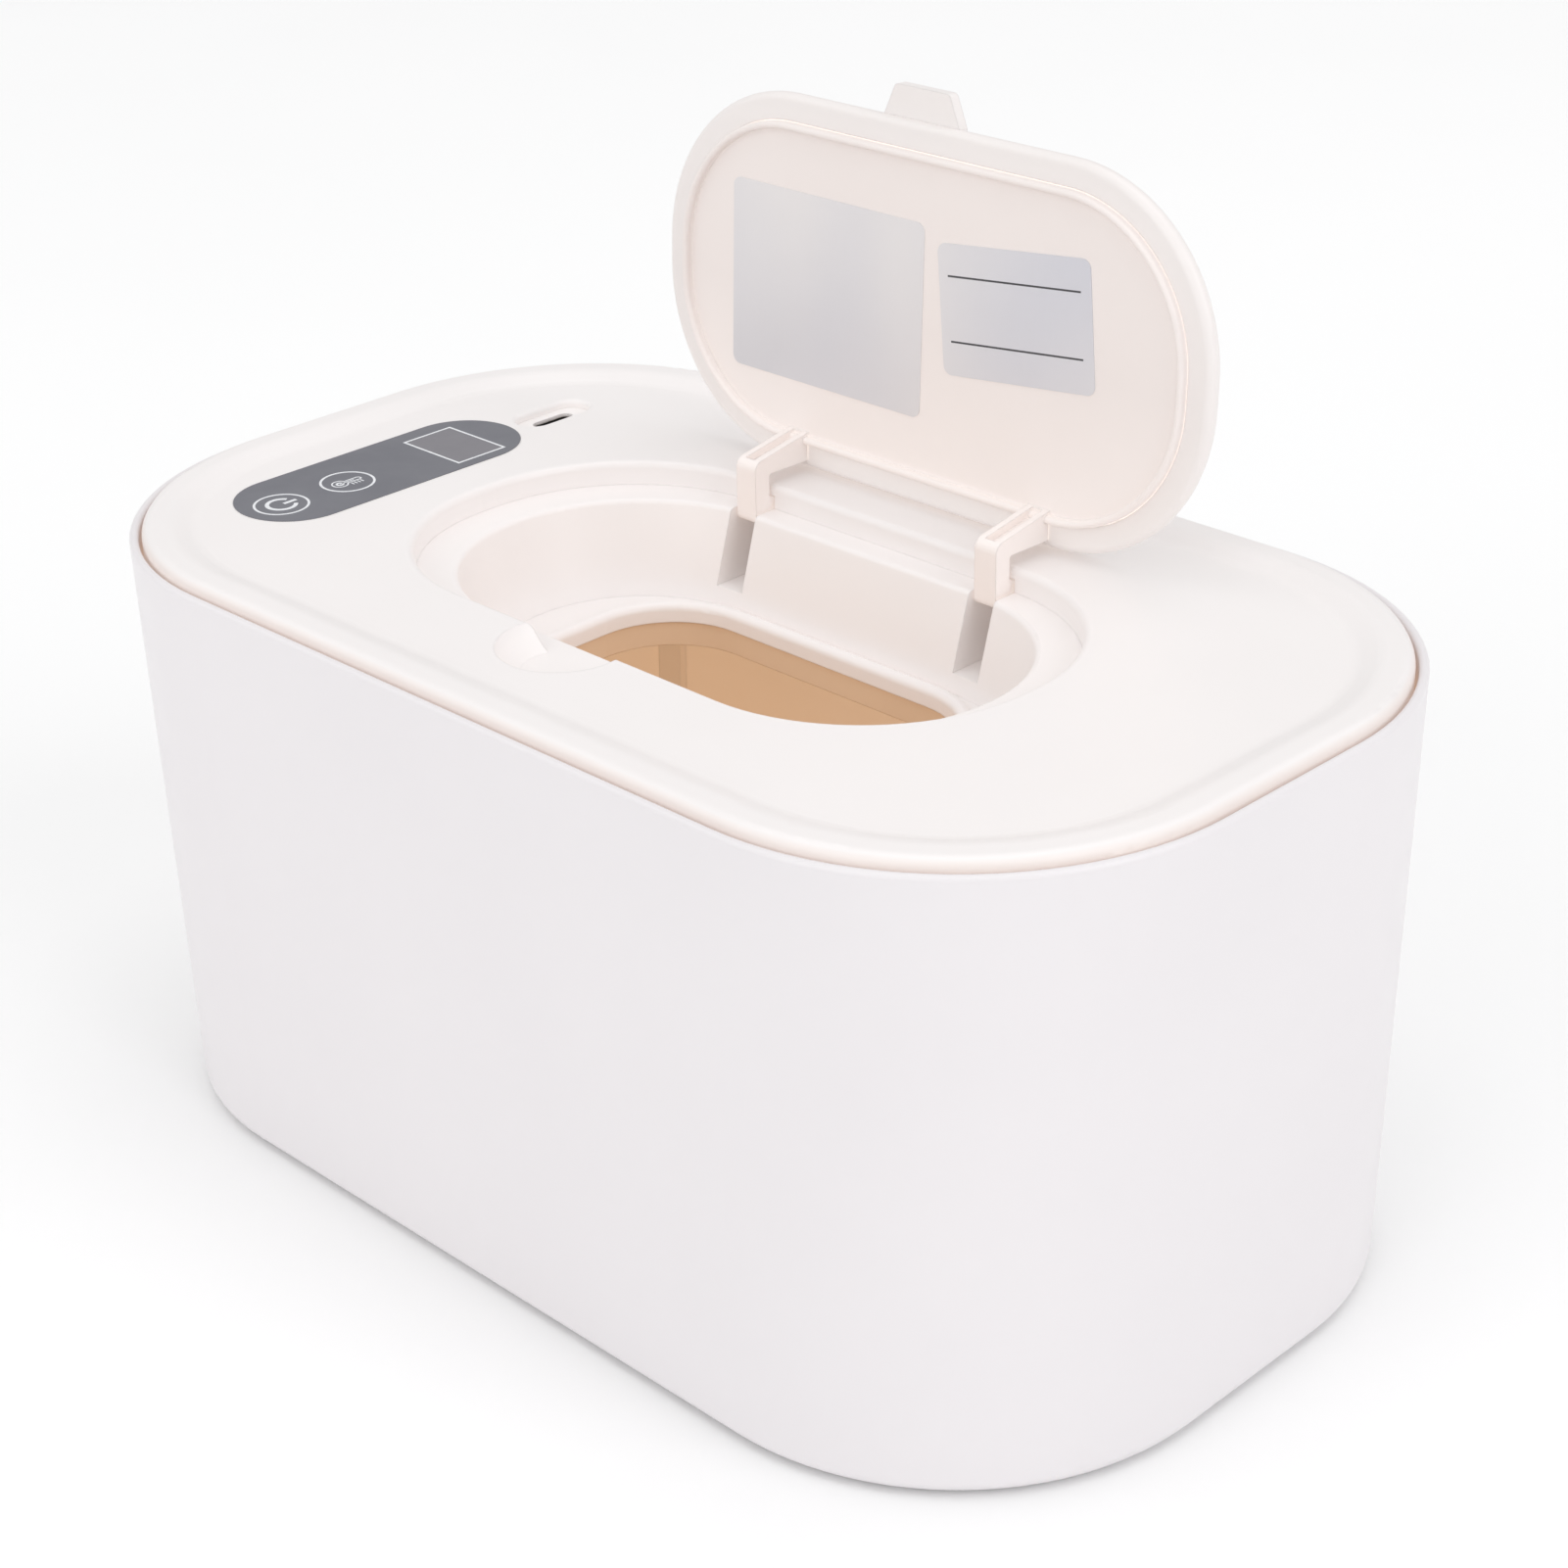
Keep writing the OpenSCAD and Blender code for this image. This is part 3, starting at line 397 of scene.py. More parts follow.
@dataclass(frozen=True)
class TubPlastic(MouldedPlastic):
    """The tub's plastic, with painted warm light on the inside, standing for room light that its
    thin wall lets in.
    """

    # The inside's tone is warmer than the outside's: partly the plastic's own tone, partly painted
    # warm light.
    inside: Colour = (0.78, 0.73, 0.68)
    # Painted light: the colour of the emission on the inside.
    painted_light_colour: Colour = (0.215, 0.14, 0.085)
    rib_x_mm: float = 76.0
    rib_half_mm: float = 2.0
    rib_blur_mm: float = 0.2
    # Painted shade: how much the painted light dims over a rib.
    rib_painted_shade: float = 0.45
    rim_half_mm: Flat = (105.0, 63.2)
    corner_mm: float = 48.2
    lean: float = 0.02
    wall_mm: float = 1.5
    wall_fade: Flat = (0.75, 0.55)
    floor_fade_mm: Flat = (2.0, 3.0)
    rim_z_mm: float = 100.6
    rim_fade_mm: Flat = (-12.0, -0.5)

    def colour(self, wiring: Wiring) -> Socket:
        """The colour over the surface, with a warmer tone on the inside, partly painted warm
        light.
        """
        return wiring.tint(self.inside_share(wiring), super().colour(wiring), self.inside)

    def wire(self, wiring: Wiring) -> None:
        """Wires the finish, and paints warm light on the inside as an emission, with painted shade
        over a rib.

        Args:
            wiring: its tree.
        """
        super().wire(wiring)
        # Painted shade: the painted light on the inside is dimmer over the rib.
        across = wiring.maths("ABSOLUTE", wiring.axes()[0])
        off_rib = wiring.maths("ABSOLUTE", wiring.maths("SUBTRACT", across, self.rib_x_mm * MM))
        painted_rib_shade = wiring.span(off_rib, 1.0 - self.rib_painted_shade, 1.0,
                          (self.rib_half_mm - self.rib_blur_mm) * MM,
                          (self.rib_half_mm + self.rib_blur_mm) * MM)
        wiring.paint_light(wiring.maths("MULTIPLY", painted_rib_shade, self.inside_share(wiring)), self.painted_light_colour)

    def inside_share(self, wiring: Wiring) -> Socket:
        """A value that is 1 where the surface is deeper than the wall's middle.

        Args:
            wiring: its tree.

        Returns:
            The value socket.
        """
        height = wiring.axes()[2]
        fall = wiring.maths("MULTIPLY", wiring.maths("SUBTRACT", height, self.rim_z_mm * MM),
                            -self.lean)
        out = wiring.maths("ADD", wiring.from_core(self.rim_half_mm, self.corner_mm), fall)
        wall = ((self.corner_mm - part * self.wall_mm) * MM for part in self.wall_fade)
        floor = (rise * MM for rise in self.floor_fade_mm)
        rim = ((self.rim_z_mm + rise) * MM for rise in self.rim_fade_mm)
        inner = wiring.span(out, 1.0, 0.0, *wall)
        over_floor = wiring.span(height, 0.0, 1.0, *floor)
        below_rim = wiring.span(height, 1.0, 0.0, *rim)
        return wiring.maths("MULTIPLY", wiring.maths("MULTIPLY", inner, over_floor), below_rim)


@dataclass(frozen=True)
class CoverPlastic(MouldedPlastic):
    """The cover's plastic, with painted warm light down its outer band, in its narrow places and
    in the well.
    """

    # Painted light: a warmer tone down the outer band, and the colour of an emission with its
    # shares on the wall and in gaps.
    painted_edge_light: Colour = (0.85, 0.775, 0.74)
    painted_light_colour: Colour = (0.17, 0.135, 0.115)
    wall_light_share: float = 0.2
    gap_light_share: float = 0.7
    gap_mm: float = 3.0
    half_mm: Flat = (103.0, 61.2)
    corner_mm: float = 46.2
    band_mm: float = 0.9
    band_fade: Flat = (1.0, 0.2)
    rim_z_mm: float = 100.6
    rim_fade_mm: Flat = (-1.6, 0.4)

    def colour(self, wiring: Wiring) -> Socket:
        """The colour over the surface, with a painted warm light tone down the outer band."""
        return wiring.tint(self.edge_light_share(wiring), super().colour(wiring), self.painted_edge_light)

    def edge_light_share(self, wiring: Wiring) -> Socket:
        """A value that is 1 on the outer band, where the painted warm light tone lies.

        Args:
            wiring: its tree.

        Returns:
            The value socket.
        """
        band = ((self.corner_mm - part * self.band_mm) * MM for part in self.band_fade)
        return wiring.span(wiring.from_core(self.half_mm, self.corner_mm), 0.0, 1.0, *band)

    def wire(self, wiring: Wiring) -> None:
        """Wires the finish, and paints light into gaps and onto what lies below the tub's rim,
        most on the outer band.

        Args:
            wiring: its tree.
        """
        super().wire(wiring)
        # Painted light: an emission below the tub's rim, strongest on the outer band, and in
        # narrow gaps.
        rim = ((self.rim_z_mm + rise) * MM for rise in self.rim_fade_mm)
        low = wiring.span(wiring.axes()[2], 1.0, 0.0, *rim)
        part = wiring.span(self.edge_light_share(wiring), self.wall_light_share, 1.0, 0.0, 1.0)
        near = wiring.maths("MULTIPLY", wiring.gaps(self.gap_mm), self.gap_light_share)
        share = wiring.maths("MAXIMUM", wiring.maths("MULTIPLY", low, part), near)
        wiring.paint_light(share, self.painted_light_colour)


@dataclass(frozen=True)
class LinerPlastic(MouldedPlastic):
    """The lid's plastic, with painted warm light in its gaps, and a little on its thin arms and
    foot.
    """

    # Painted light: the colour of the emission, and its share at the lid's foot.
    painted_light_colour: Colour = (0.34, 0.32, 0.30)
    foot_light_share: float = 0.29
    gap_mm: float = 1.0
    arm_z_mm: float = 106.0
    fade_mm: float = 24.0

    def wire(self, wiring: Wiring) -> None:
        """Wires the finish, and paints light into the gaps and onto the arms, fading up the lid.

        Args:
            wiring: its tree.
        """
        super().wire(wiring)
        # Painted light: an emission low on the lid, fading upwards, and in narrow gaps.
        low = wiring.span(wiring.axes()[2], self.foot_light_share, 0.0, self.arm_z_mm * MM,
                          (self.arm_z_mm + self.fade_mm) * MM)
        wiring.paint_light(wiring.maths("MAXIMUM", low, wiring.gaps(self.gap_mm)), self.painted_light_colour)


@dataclass(frozen=True)
class OverlayFilm(Skin):
    """The touch panel's matt polyester film, a little lighter over the display window."""

    roughness: float = 0.41
    haze_mm: float = 6.0
    cloud_mm: float = 18.0
    grain_mm: float = 0.16
    grain_detail: float = 1.0
    grain_depth_mm: float = 0.002
    window: Colour = (0.195, 0.188, 0.208)
    window_centre: Flat = (0.0, 0.0)
    window_half: Flat = (7.2 * MM, 5.0 * MM)
    window_blur: float = 0.1 * MM

    def colour(self, wiring: Wiring) -> Socket:
        """The colour over the surface, with another tone over the window.

        Args:
            wiring: its tree.

        Returns:
            The colour socket.
        """
        shares: list[Socket] = []
        for axis, middle, half in zip(wiring.axes(), self.window_centre, self.window_half):
            away = wiring.maths("ABSOLUTE", wiring.maths("SUBTRACT", axis, middle))
            shares.append(wiring.span(away, 1.0, 0.0, half - self.window_blur,
                                      half + self.window_blur))
        return wiring.tint(wiring.maths("MULTIPLY", *shares), super().colour(wiring), self.window)


@dataclass(frozen=True)
class Metal(Finish):
    """A plated, ground or rolled metal, with its tool marks along one axis."""

    roughness: float = 0.3
    brighter: float = 0.08
    duller: float = 0.1
    cloud_mm: float = 5.0
    cloud_detail: float = 3.0
    sweep: Triple = EVEN
    mark_mm: float = 0.3
    mark_detail: float = 3.0
    mark_depth_mm: float = 0.003
    marks: Triple = EVEN
    metallic: float = 1.0

    def wire(self, wiring: Wiring) -> None:
        """Wires colour, gloss and relief.

        Args:
            wiring: its tree.
        """
        wiring.paint(self.clouds(wiring, self.cloud_mm, self.cloud_detail, self.sweep))
        marks = wiring.noise(self.mark_mm, self.mark_detail, self.marks)
        wiring.roughen(marks, self.roughness - self.brighter, self.roughness + self.duller)
        wiring.fix("Metallic", self.metallic)
        wiring.relief(marks, self.mark_depth_mm)


@dataclass(frozen=True)
class SilverFilm(Metal):
    """Metallised label film: a soft, slightly streaked silver."""

    roughness: float = 0.38
    duller: float = 0.04
    cloud_mm: float = 34.0
    cloud_detail: float = 1.0
    sweep: Triple = (1.0, 0.3, 0.6)
    mark_mm: float = 0.5
    mark_detail: float = 2.0
    mark_depth_mm: float = 0.001
    marks: Triple = (1.0, 1.0, 0.06)
    metallic: float = 0.25


@dataclass(frozen=True)
class SoftStuff(Finish):
    """Rubber, silicone or closed-cell foam: matt, with pores or a mould's fine frosting."""

    pore_mm: float
    pore_depth_mm: float
    roughness: float = 0.75
    haze: float = 0.08
    haze_mm: float = 4.0
    pore_range: Flat = (0.0, 0.6)

    def wire(self, wiring: Wiring) -> None:
        """Wires colour, gloss and relief.

        Args:
            wiring: its tree.
        """
        cells = wiring.node("TexVoronoi")
        cells.inputs["Scale"].default_value = 1.0 / (self.pore_mm * MM)
        wiring.join(wiring.place(), cells.inputs["Vector"])
        off_pore = wiring.span(cells.outputs["Distance"], 0.0, 1.0, *self.pore_range)
        wiring.paint(wiring.tint(off_pore, self.shade, self.tone))
        wiring.roughen(wiring.noise(self.haze_mm, 3.0), self.roughness - self.haze,
                       self.roughness + self.haze)
        wiring.relief(cells.outputs["Distance"], self.pore_depth_mm)


@dataclass(frozen=True)
class CircuitLacquer(Finish):
    """Solder mask over copper: straight runs of track show as a lighter, raised green."""

    track_mm: float = 5.6
    track_width: float = 0.035
    track_blur: float = 0.2
    track_offset: float = 0.37
    track_squash: float = 0.6
    track_shares: Flat = (0.2, 1.0)
    cloud_mm: float = 12.0
    haze_mm: float = 3.0
    gloss: Flat = (0.22, 0.34)
    track_depth_mm: float = 0.03

    def wire(self, wiring: Wiring) -> None:
        """Wires colour, gloss and relief.

        Args:
            wiring: its tree.
        """
        tracks = wiring.node("TexBrick", offset=self.track_offset, squash=self.track_squash,
                             squash_frequency=3)
        tracks.inputs["Scale"].default_value = 1.0 / (self.track_mm * MM)
        tracks.inputs["Mortar Size"].default_value = self.track_width
        tracks.inputs["Mortar Smooth"].default_value = self.track_blur
        wiring.join(wiring.place(), tracks.inputs["Vector"])
        clear = wiring.span(wiring.noise(self.cloud_mm), *self.track_shares)
        runs = wiring.maths("MULTIPLY", tracks.outputs["Fac"], clear)
        wiring.paint(wiring.tint(runs, self.tone, self.shade))
        wiring.roughen(wiring.noise(self.haze_mm), *self.gloss)
        wiring.relief(tracks.outputs["Fac"], self.track_depth_mm)


@dataclass(frozen=True)
class PrintInk(Skin):
    """Screen-printed ink with a slightly uneven cover."""

    roughness: float = 0.56
    haze: float = 0.06
    haze_mm: float = 0.6
    haze_detail: float = 3.0
    cloud_mm: float = 0.6
    grain_mm: float = 0.1
    grain_detail: float = 1.0
    grain_depth_mm: float = 0.002


@dataclass(frozen=True)
class StudioFloor(Skin):
    """The pale sweep that the warmer stands on."""

    roughness: float = 0.87
    haze_mm: float = 90.0
    haze_detail: float = 2.0
    cloud_mm: float = 600.0
    cloud_detail: float = 2.0
    grain_mm: float = 2.0
    grain_depth_mm: float = 0.01


class Stock(Enum):
    """The stock that a piece is made of, by the record's material slot."""

    TUB = "tub_white"
    FOOT = "foot_grey"
    COVER = "cover_cream"
    PANEL = "panel_grey"
    DISPLAY = "display_black"
    TOUCH = "touch_foam"
    BOARD = "board_green"
    SCREW = "screw_steel"
    SOCKET = "socket_steel"
    TONGUE = "socket_black"
    HOUSING = "housing_white"
    PLATE = "plate_aluminium"
    FILM = "film_amber"
    PAD = "pad_foam"
    SENSOR = "sensor_black"
    FUSE = "fuse_white"
    LEAD = "lead_red"
    PIN = "pin_steel"
    LINER = "liner_cream"
    LABEL = "label_silver"


FINISHES: dict[Stock, Finish] = {
    Stock.TUB: TubPlastic("Tub_plastic", (0.805, 0.777, 0.79), (0.79, 0.762, 0.776), 0.34),
    Stock.FOOT: SoftStuff("Foot_rubber", (0.6, 0.6, 0.6), (0.5, 0.5, 0.5), 0.3, 0.01),
    Stock.COVER: CoverPlastic("Cover_plastic", (0.88, 0.848, 0.84), (0.864, 0.832, 0.824)),
    Stock.DISPLAY: MouldedPlastic("Display_block", (0.02, 0.02, 0.022), (0.03, 0.03, 0.032), 0.2),
    Stock.TOUCH: SoftStuff("Touch_foam", (0.06, 0.06, 0.065), (0.03, 0.03, 0.03), 0.4, 0.05),
    Stock.BOARD: CircuitLacquer("Board_lacquer", (0.015, 0.10, 0.045), (0.04, 0.20, 0.09)),
    Stock.SCREW: Metal("Screw_zinc", (0.62, 0.62, 0.64), (0.5, 0.5, 0.52), 0.32),
    # Painted shade: the nickel shell is darkened to the shade inside the socket's slot.
    Stock.SOCKET: Metal("Socket_nickel_painted_shade", (0.17, 0.17, 0.18), (0.12, 0.12, 0.13), 0.32,
                        marks=(1.0, 1.0, 0.1)),
    Stock.TONGUE: MouldedPlastic("Socket_tongue", (0.012, 0.012, 0.012), (0.02, 0.02, 0.02), 0.45),
    Stock.HOUSING: MouldedPlastic("Housing_plastic", (0.80, 0.76, 0.71), (0.76, 0.72, 0.67), 0.5,
                                  grain_depth_mm=0.006),
    # Painted warm light: the heater plate's tan tone stands for the warm light inside the tub.
    Stock.PLATE: MouldedPlastic("Plate_painted_warm_light", (0.82, 0.63, 0.45), (0.78, 0.59, 0.42), 0.4),
    Stock.FILM: MouldedPlastic("Film_amber", (0.55, 0.25, 0.04), (0.42, 0.17, 0.03), 0.18),
    Stock.PAD: SoftStuff("Pad_foam", (0.10, 0.10, 0.11), (0.05, 0.05, 0.055), 0.6, 0.12, 0.85),
    Stock.SENSOR: MouldedPlastic("Sensor_epoxy", (0.02, 0.02, 0.022), (0.035, 0.03, 0.03), 0.25),
    Stock.FUSE: MouldedPlastic("Fuse_ceramic", (0.72, 0.72, 0.68), (0.6, 0.6, 0.56), 0.5),
    Stock.LEAD: SoftStuff("Lead_silicone", (0.48, 0.02, 0.015), (0.36, 0.015, 0.012), 0.5, 0.01,
                          0.55),
    Stock.PIN: Metal("Pin_steel", (0.56, 0.56, 0.58), (0.46, 0.46, 0.48), 0.24,
                     marks=(0.1, 1.0, 1.0)),
    Stock.LINER: LinerPlastic("Liner_plastic", (0.872, 0.808, 0.783), (0.854, 0.79, 0.765)),
    Stock.LABEL: SilverFilm("Label_silver", (0.78, 0.755, 0.755), (0.64, 0.64, 0.69)),
}
# The lid shell's plastic, with painted warm light low on the lid and in its gaps.
LID_PLASTIC = LinerPlastic("Lid_plastic", (0.855, 0.812, 0.795), (0.84, 0.797, 0.78),
                           painted_light_colour=(0.33, 0.31, 0.29), foot_light_share=0.22, arm_z_mm=104.0)
INK_WHITE = PrintInk("Ink_white", (0.85, 0.86, 0.88), (0.72, 0.74, 0.77))
INK_GREY = PrintInk("Ink_grey", (0.045, 0.045, 0.05), (0.075, 0.075, 0.08))
CONTACT_GOLD = Metal("Contact_gold", (0.85, 0.60, 0.25), (0.75, 0.5, 0.2), 0.2)
FLOOR = StudioFloor("Studio_floor", (0.97, 0.97, 0.97), (0.955, 0.955, 0.955))


class Workshop:
    """Makes pieces, dresses them and gives each its body."""

    def __init__(self, frame: dict[str, Any]) -> None:
        """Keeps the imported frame.

        Args:
            frame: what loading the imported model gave.
        """
        self.nodes = frame["nodes"]
        self.joints = {joint["name"]: joint for joint in frame["joints"]}
        self.made: dict[str, bpy.types.Material] = {}

    def material(self, finish: Finish) -> bpy.types.Material:
        """The material of a finish, built once.

        Args:
            finish: the finish.

        Returns:
            Its material.
        """
        if finish.name not in self.made:
            self.made[finish.name] = finish.material()
        return self.made[finish.name]

    def dress(self, node: str, stock: Stock, finish: Finish | None = None) -> None:
        """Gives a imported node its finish.

        Args:
            node: the node's name.
            stock: its stock.
            finish: a finish in place of the stock's own one.
        """
        mesh = self.nodes[node].data
        mesh.materials.clear()
        mesh.materials.append(self.material(finish or FINISHES[stock]))
        LOG.info("dressed %s as %s", node, stock.value)

    def piece(self, name: str, form: bmesh.types.BMesh, finish: Finish, body: str,
              stock: Stock, smooth: bool = True) -> bpy.types.Object:
        """Turns a form into a piece that rides on a body.

        Args:
            name: the piece's name.
            form: its mesh, in metres; it is freed.
            finish: what it is finished in.
            body: the body that carries it.
            stock: the record's slot that it stands under; not used.
            smooth: whether its faces are shaded smooth.

        Returns:
            The new object.
        """
        bmesh.ops.remove_doubles(form, verts=form.verts, dist=WELD_GAP)
        bmesh.ops.recalc_face_normals(form, faces=form.faces)
        mesh = bpy.data.meshes.new(name)
        form.to_mesh(mesh)
        form.free()
        mesh.materials.append(self.material(finish))
        for face in mesh.polygons:
            face.use_smooth = smooth
        if smooth:
            mesh.set_sharp_from_angle(angle=SHARP_ANGLE)
        made = bpy.data.objects.new(name, mesh)
        bpy.context.scene.collection.objects.link(made)
        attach(made, body)
        LOG.info("made %s: %d faces, on %s", name, len(mesh.polygons), body)
        return made


# ---- Mesh forms ----


def arc(radius: float, start: float, end: float, steps: int) -> list[Flat]:
    """Points on an arc.

    Args:
        radius: its radius.
        start: its first angle in degrees, from +X.
        end: its last angle.
        steps: how many steps it takes.

    Returns:
        The points, both ends included.
    """
    angles = [math.radians(start + (end - start) * i / steps) for i in range(steps + 1)]
    return [(radius * math.cos(a), radius * math.sin(a)) for a in angles]


def circle(radius: float, sides: int) -> list[Flat]:
    """The corners of a closed ring round the origin."""
    return arc(radius, 0.0, 360.0, sides)[:-1]


def moved(points: Sequence[Flat], x: float, y: float) -> list[Flat]:
    """The points shifted by x and y."""
    return [(px + x, py + y) for px, py in points]


def stroke(form: bmesh.types.BMesh, points: Sequence[Flat], width: float, height: float,
           place: Placing, closed: bool = False) -> None:
    """Adds a printed stroke: a thin bar of even width along a line, with mitred corners.

    Args:
        form: the mesh to add to.
        points: the line's points.
        width: the stroke's width.
        height: how far it stands off its surface.
        place: carries x, y and height into the frame.
        closed: whether the line closes on itself.
    """
    wrap = 1 if closed else 0
    line = [Vector(p) for p in points]
    legs = [(end - start).normalized() for start, end in zip(line, line[1:] + line[:wrap])]
    sides = [Vector((-leg.y, leg.x)) for leg in legs]
    before = sides[-1:] + sides[:-1] if closed else sides[:1] + sides
    after = sides if closed else sides + sides[-1:]
    rings: list[Ring] = []
    for here, side_in, side_out in zip(line, before, after):
        side = (side_in + side_out).normalized()
        reach = side * (width / 2.0 / max(side.dot(side_in), MITRE_LIMIT))
        left, right = here + reach, here - reach
        corners = ((left, 0.0), (left, height), (right, height), (right, 0.0))
        rings.append([form.verts.new(place(p.x, p.y, z)) for p, z in corners])
    for first, second in zip(rings, rings[1:] + rings[:wrap]):
        bridge(form, first, second)
    if not closed:
        form.faces.new(rings[0])
        form.faces.new(list(reversed(rings[-1])))


def bridge(form: bmesh.types.BMesh, first: Ring, second: Ring) -> None:
    """Joins two rings of as many corners with faces.

    Args:
        form: the mesh to add to.
        first: one ring.
        second: the other ring.
    """
    count = len(first)
    for i in range(count):
        j = (i + 1) % count
        form.faces.new((first[i], first[j], second[j], second[i]))


def turned(form: bmesh.types.BMesh, outline: Sequence[Flat], centre: Vector, sides: int,
           open_start: bool = False) -> None:
    """Adds a lathe-turned form on an upright axis.

    Args:
        form: the mesh to add to.
        outline: radius and height of each ring, from one end of the axis to the other.
        centre: the axis at height 0.
        sides: how many sides each ring has.
        open_start: whether the first ring stays open.
    """
    rings = [[form.verts.new(centre + Vector((x, y, height))) for x, y in circle(radius, sides)]
             for radius, height in outline]
    for first, second in zip(rings, rings[1:]):
        bridge(form, first, second)
    if not open_start:
        form.faces.new(rings[0])
    form.faces.new(rings[-1])


def corners_of(node: str) -> tuple[Vector, Vector]:
    """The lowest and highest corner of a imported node, as vectors."""
    low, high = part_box(node)
    return Vector(low), Vector(high)


def middle_of(node: str) -> Flat:
    """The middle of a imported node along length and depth."""
    low, high = corners_of(node)
    return (low.x + high.x) / 2.0, (low.y + high.y) / 2.0


# ---- Sub-assemblies ----


@dataclass
class Tub:
    """The tub and the four feet that it stands on."""

    shop: Workshop
    foot_sides: int = 64
    foot_edge: float = 0.25 * MM
    dimple: Flat = (0.6 * MM, 0.9 * MM)
    groove: float = 0.22 * MM
    groove_half: Flat = (0.25 * MM, 0.45 * MM)
    groove_at: Flat = (0.42, 0.7)
    feet: tuple[str, ...] = ("foot_front_left", "foot_front_right", "foot_rear_left",
                             "foot_rear_right")

    def build(self) -> None:
        """Dresses the shell and turns the feet."""
        self.shop.dress("body_shell", Stock.TUB)
        for node in self.feet:
            self.foot(node)

    def foot(self, node: str) -> None:
        """Replaces a foot by a rubber pad with a chamfer, two ring grooves and a dimple under it.

        Args:
            node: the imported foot's name.
        """
        low, high = corners_of(node)
        radius = (high.x - low.x) / 2.0
        floor_half, mouth_half = self.groove_half
        outline = [(self.dimple[0], self.groove), (self.dimple[1], 0.0)]
        for share in self.groove_at:
            middle = radius * share
            outline += [(middle - mouth_half, 0.0), (middle - floor_half, self.groove),
                        (middle + floor_half, self.groove), (middle + mouth_half, 0.0)]
        outline += [(radius - self.foot_edge, 0.0), (radius, self.foot_edge),
                    (radius, high.z - low.z)]
        form = bmesh.new()
        turned(form, outline, Vector((*middle_of(node), low.z)), self.foot_sides)
        pad = self.shop.piece("rubber_" + node, form, FINISHES[Stock.FOOT], "body", Stock.FOOT)
        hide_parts(node)


@dataclass
class ControlPanel:
    """The touch panel: its film, the printed marks on it and what sits behind it."""

    shop: Workshop
    shift_x: float = 0.6 * MM
    line: float = 0.42 * MM
    bold: float = 0.7 * MM
    fine: float = 0.24 * MM
    ink: float = 0.02 * MM
    ring_radius: float = 4.45 * MM
    ring_sides: int = 72
    window_half: Flat = (7.2 * MM, 5.0 * MM)
    power_radius: float = 2.35 * MM
    power_sweep: Flat = (122.0, 418.0)
    power_steps: int = 48
    power_bar: Flat = (0.45 * MM, 2.95 * MM)
    bulb_y: float = -1.55 * MM
    bulb_radius: float = 1.35 * MM
    bulb_steps: int = 36
    neck_radius: float = 0.5 * MM
    neck_top: float = 2.2 * MM
    neck_steps: int = 12
    glass: float = 0.26 * MM
    column_top: float = 1.3 * MM
    drop_radius: float = 0.55 * MM
    drop_line: float = 0.4 * MM
    drop_sides: int = 20
    tick: Flat = (0.85 * MM, 1.75 * MM)
    tick_low_mm: float = 0.1
    tick_step_mm: float = 0.65
    tick_count: int = 4

    def build(self) -> None:
        """Dresses the panel and prints its marks."""
        centre = self.print_middle("display_module")
        film = OverlayFilm("Panel_film", (0.141, 0.143, 0.166), (0.161, 0.163, 0.186),
                           window_centre=centre, window_half=self.window_half)
        self.shop.dress("control_panel", Stock.PANEL, film)
        self.shop.dress("display_module", Stock.DISPLAY)
        for node in ("touch_pad_power", "touch_pad_temperature"):
            self.shop.dress(node, Stock.TOUCH)
        self.window_frame()
        self.power_mark()
        self.heat_mark()

    def print_middle(self, node: str) -> Flat:
        """The middle of the print over a node behind the film."""
        x, y = middle_of(node)
        return x + self.shift_x, y

    def on_film(self, x: float, y: float) -> Placing:
        """Places a print's own x, y and height round a point of the film."""
        top = corners_of("control_panel")[1].z
        return lambda px, py, pz: Vector((x + px, y + py, top + pz))

    def mark(self, name: str, strokes: Sequence[Stroke], centre: Flat) -> None:
        """Prints one mark.

        Args:
            name: the piece's name.
            strokes: line, width and whether it closes, for each stroke.
            centre: the mark's middle along length and depth.
        """
        form = bmesh.new()
        for points, width, closed in strokes:
            stroke(form, points, width, self.ink, self.on_film(*centre), closed)
        self.shop.piece(name, form, INK_WHITE, "cover", Stock.PANEL, smooth=False)

    def key_ring(self) -> Stroke:
        """The ring round a touch mark."""
        return circle(self.ring_radius, self.ring_sides), self.line, True

    def window_frame(self) -> None:
        """Prints the square line round the display window."""
        x, y = self.window_half
        square = ([(-x, -y), (x, -y), (x, y), (-x, y)], self.line, True)
        self.mark("print_window_frame", [square], self.print_middle("display_module"))

    def power_mark(self) -> None:
        """Prints the ring and the on-off sign."""
        sweep = arc(self.power_radius, *self.power_sweep, self.power_steps)
        bar = [(0.0, y) for y in self.power_bar]
        strokes = [self.key_ring(), (sweep, self.bold, False), (bar, self.bold, False)]
        self.mark("print_power_mark", strokes, self.print_middle("touch_pad_power"))

    def heat_mark(self) -> None:
        """Prints the ring and a plain thermometer."""
        opening = math.degrees(math.asin(self.neck_radius / self.bulb_radius))
        bulb = arc(self.bulb_radius, 90.0 + opening, 450.0 - opening, self.bulb_steps)
        neck = arc(self.neck_radius, 0.0, 180.0, self.neck_steps)
        outline = moved(bulb, 0.0, self.bulb_y) + moved(neck, 0.0, self.neck_top)
        column = [(0.0, self.bulb_y), (0.0, self.column_top)]
        drop = moved(circle(self.drop_radius, self.drop_sides), 0.0, self.bulb_y)
        strokes = [self.key_ring(), (outline, self.glass, True), (column, self.fine, False),
                   (drop, self.drop_line, True)]
        for i in range(self.tick_count):
            height = (self.tick_low_mm + self.tick_step_mm * i) * MM
            strokes.append(([(x, height) for x in self.tick], self.fine, False))
        self.mark("print_heat_mark", strokes, self.print_middle("touch_pad_temperature"))


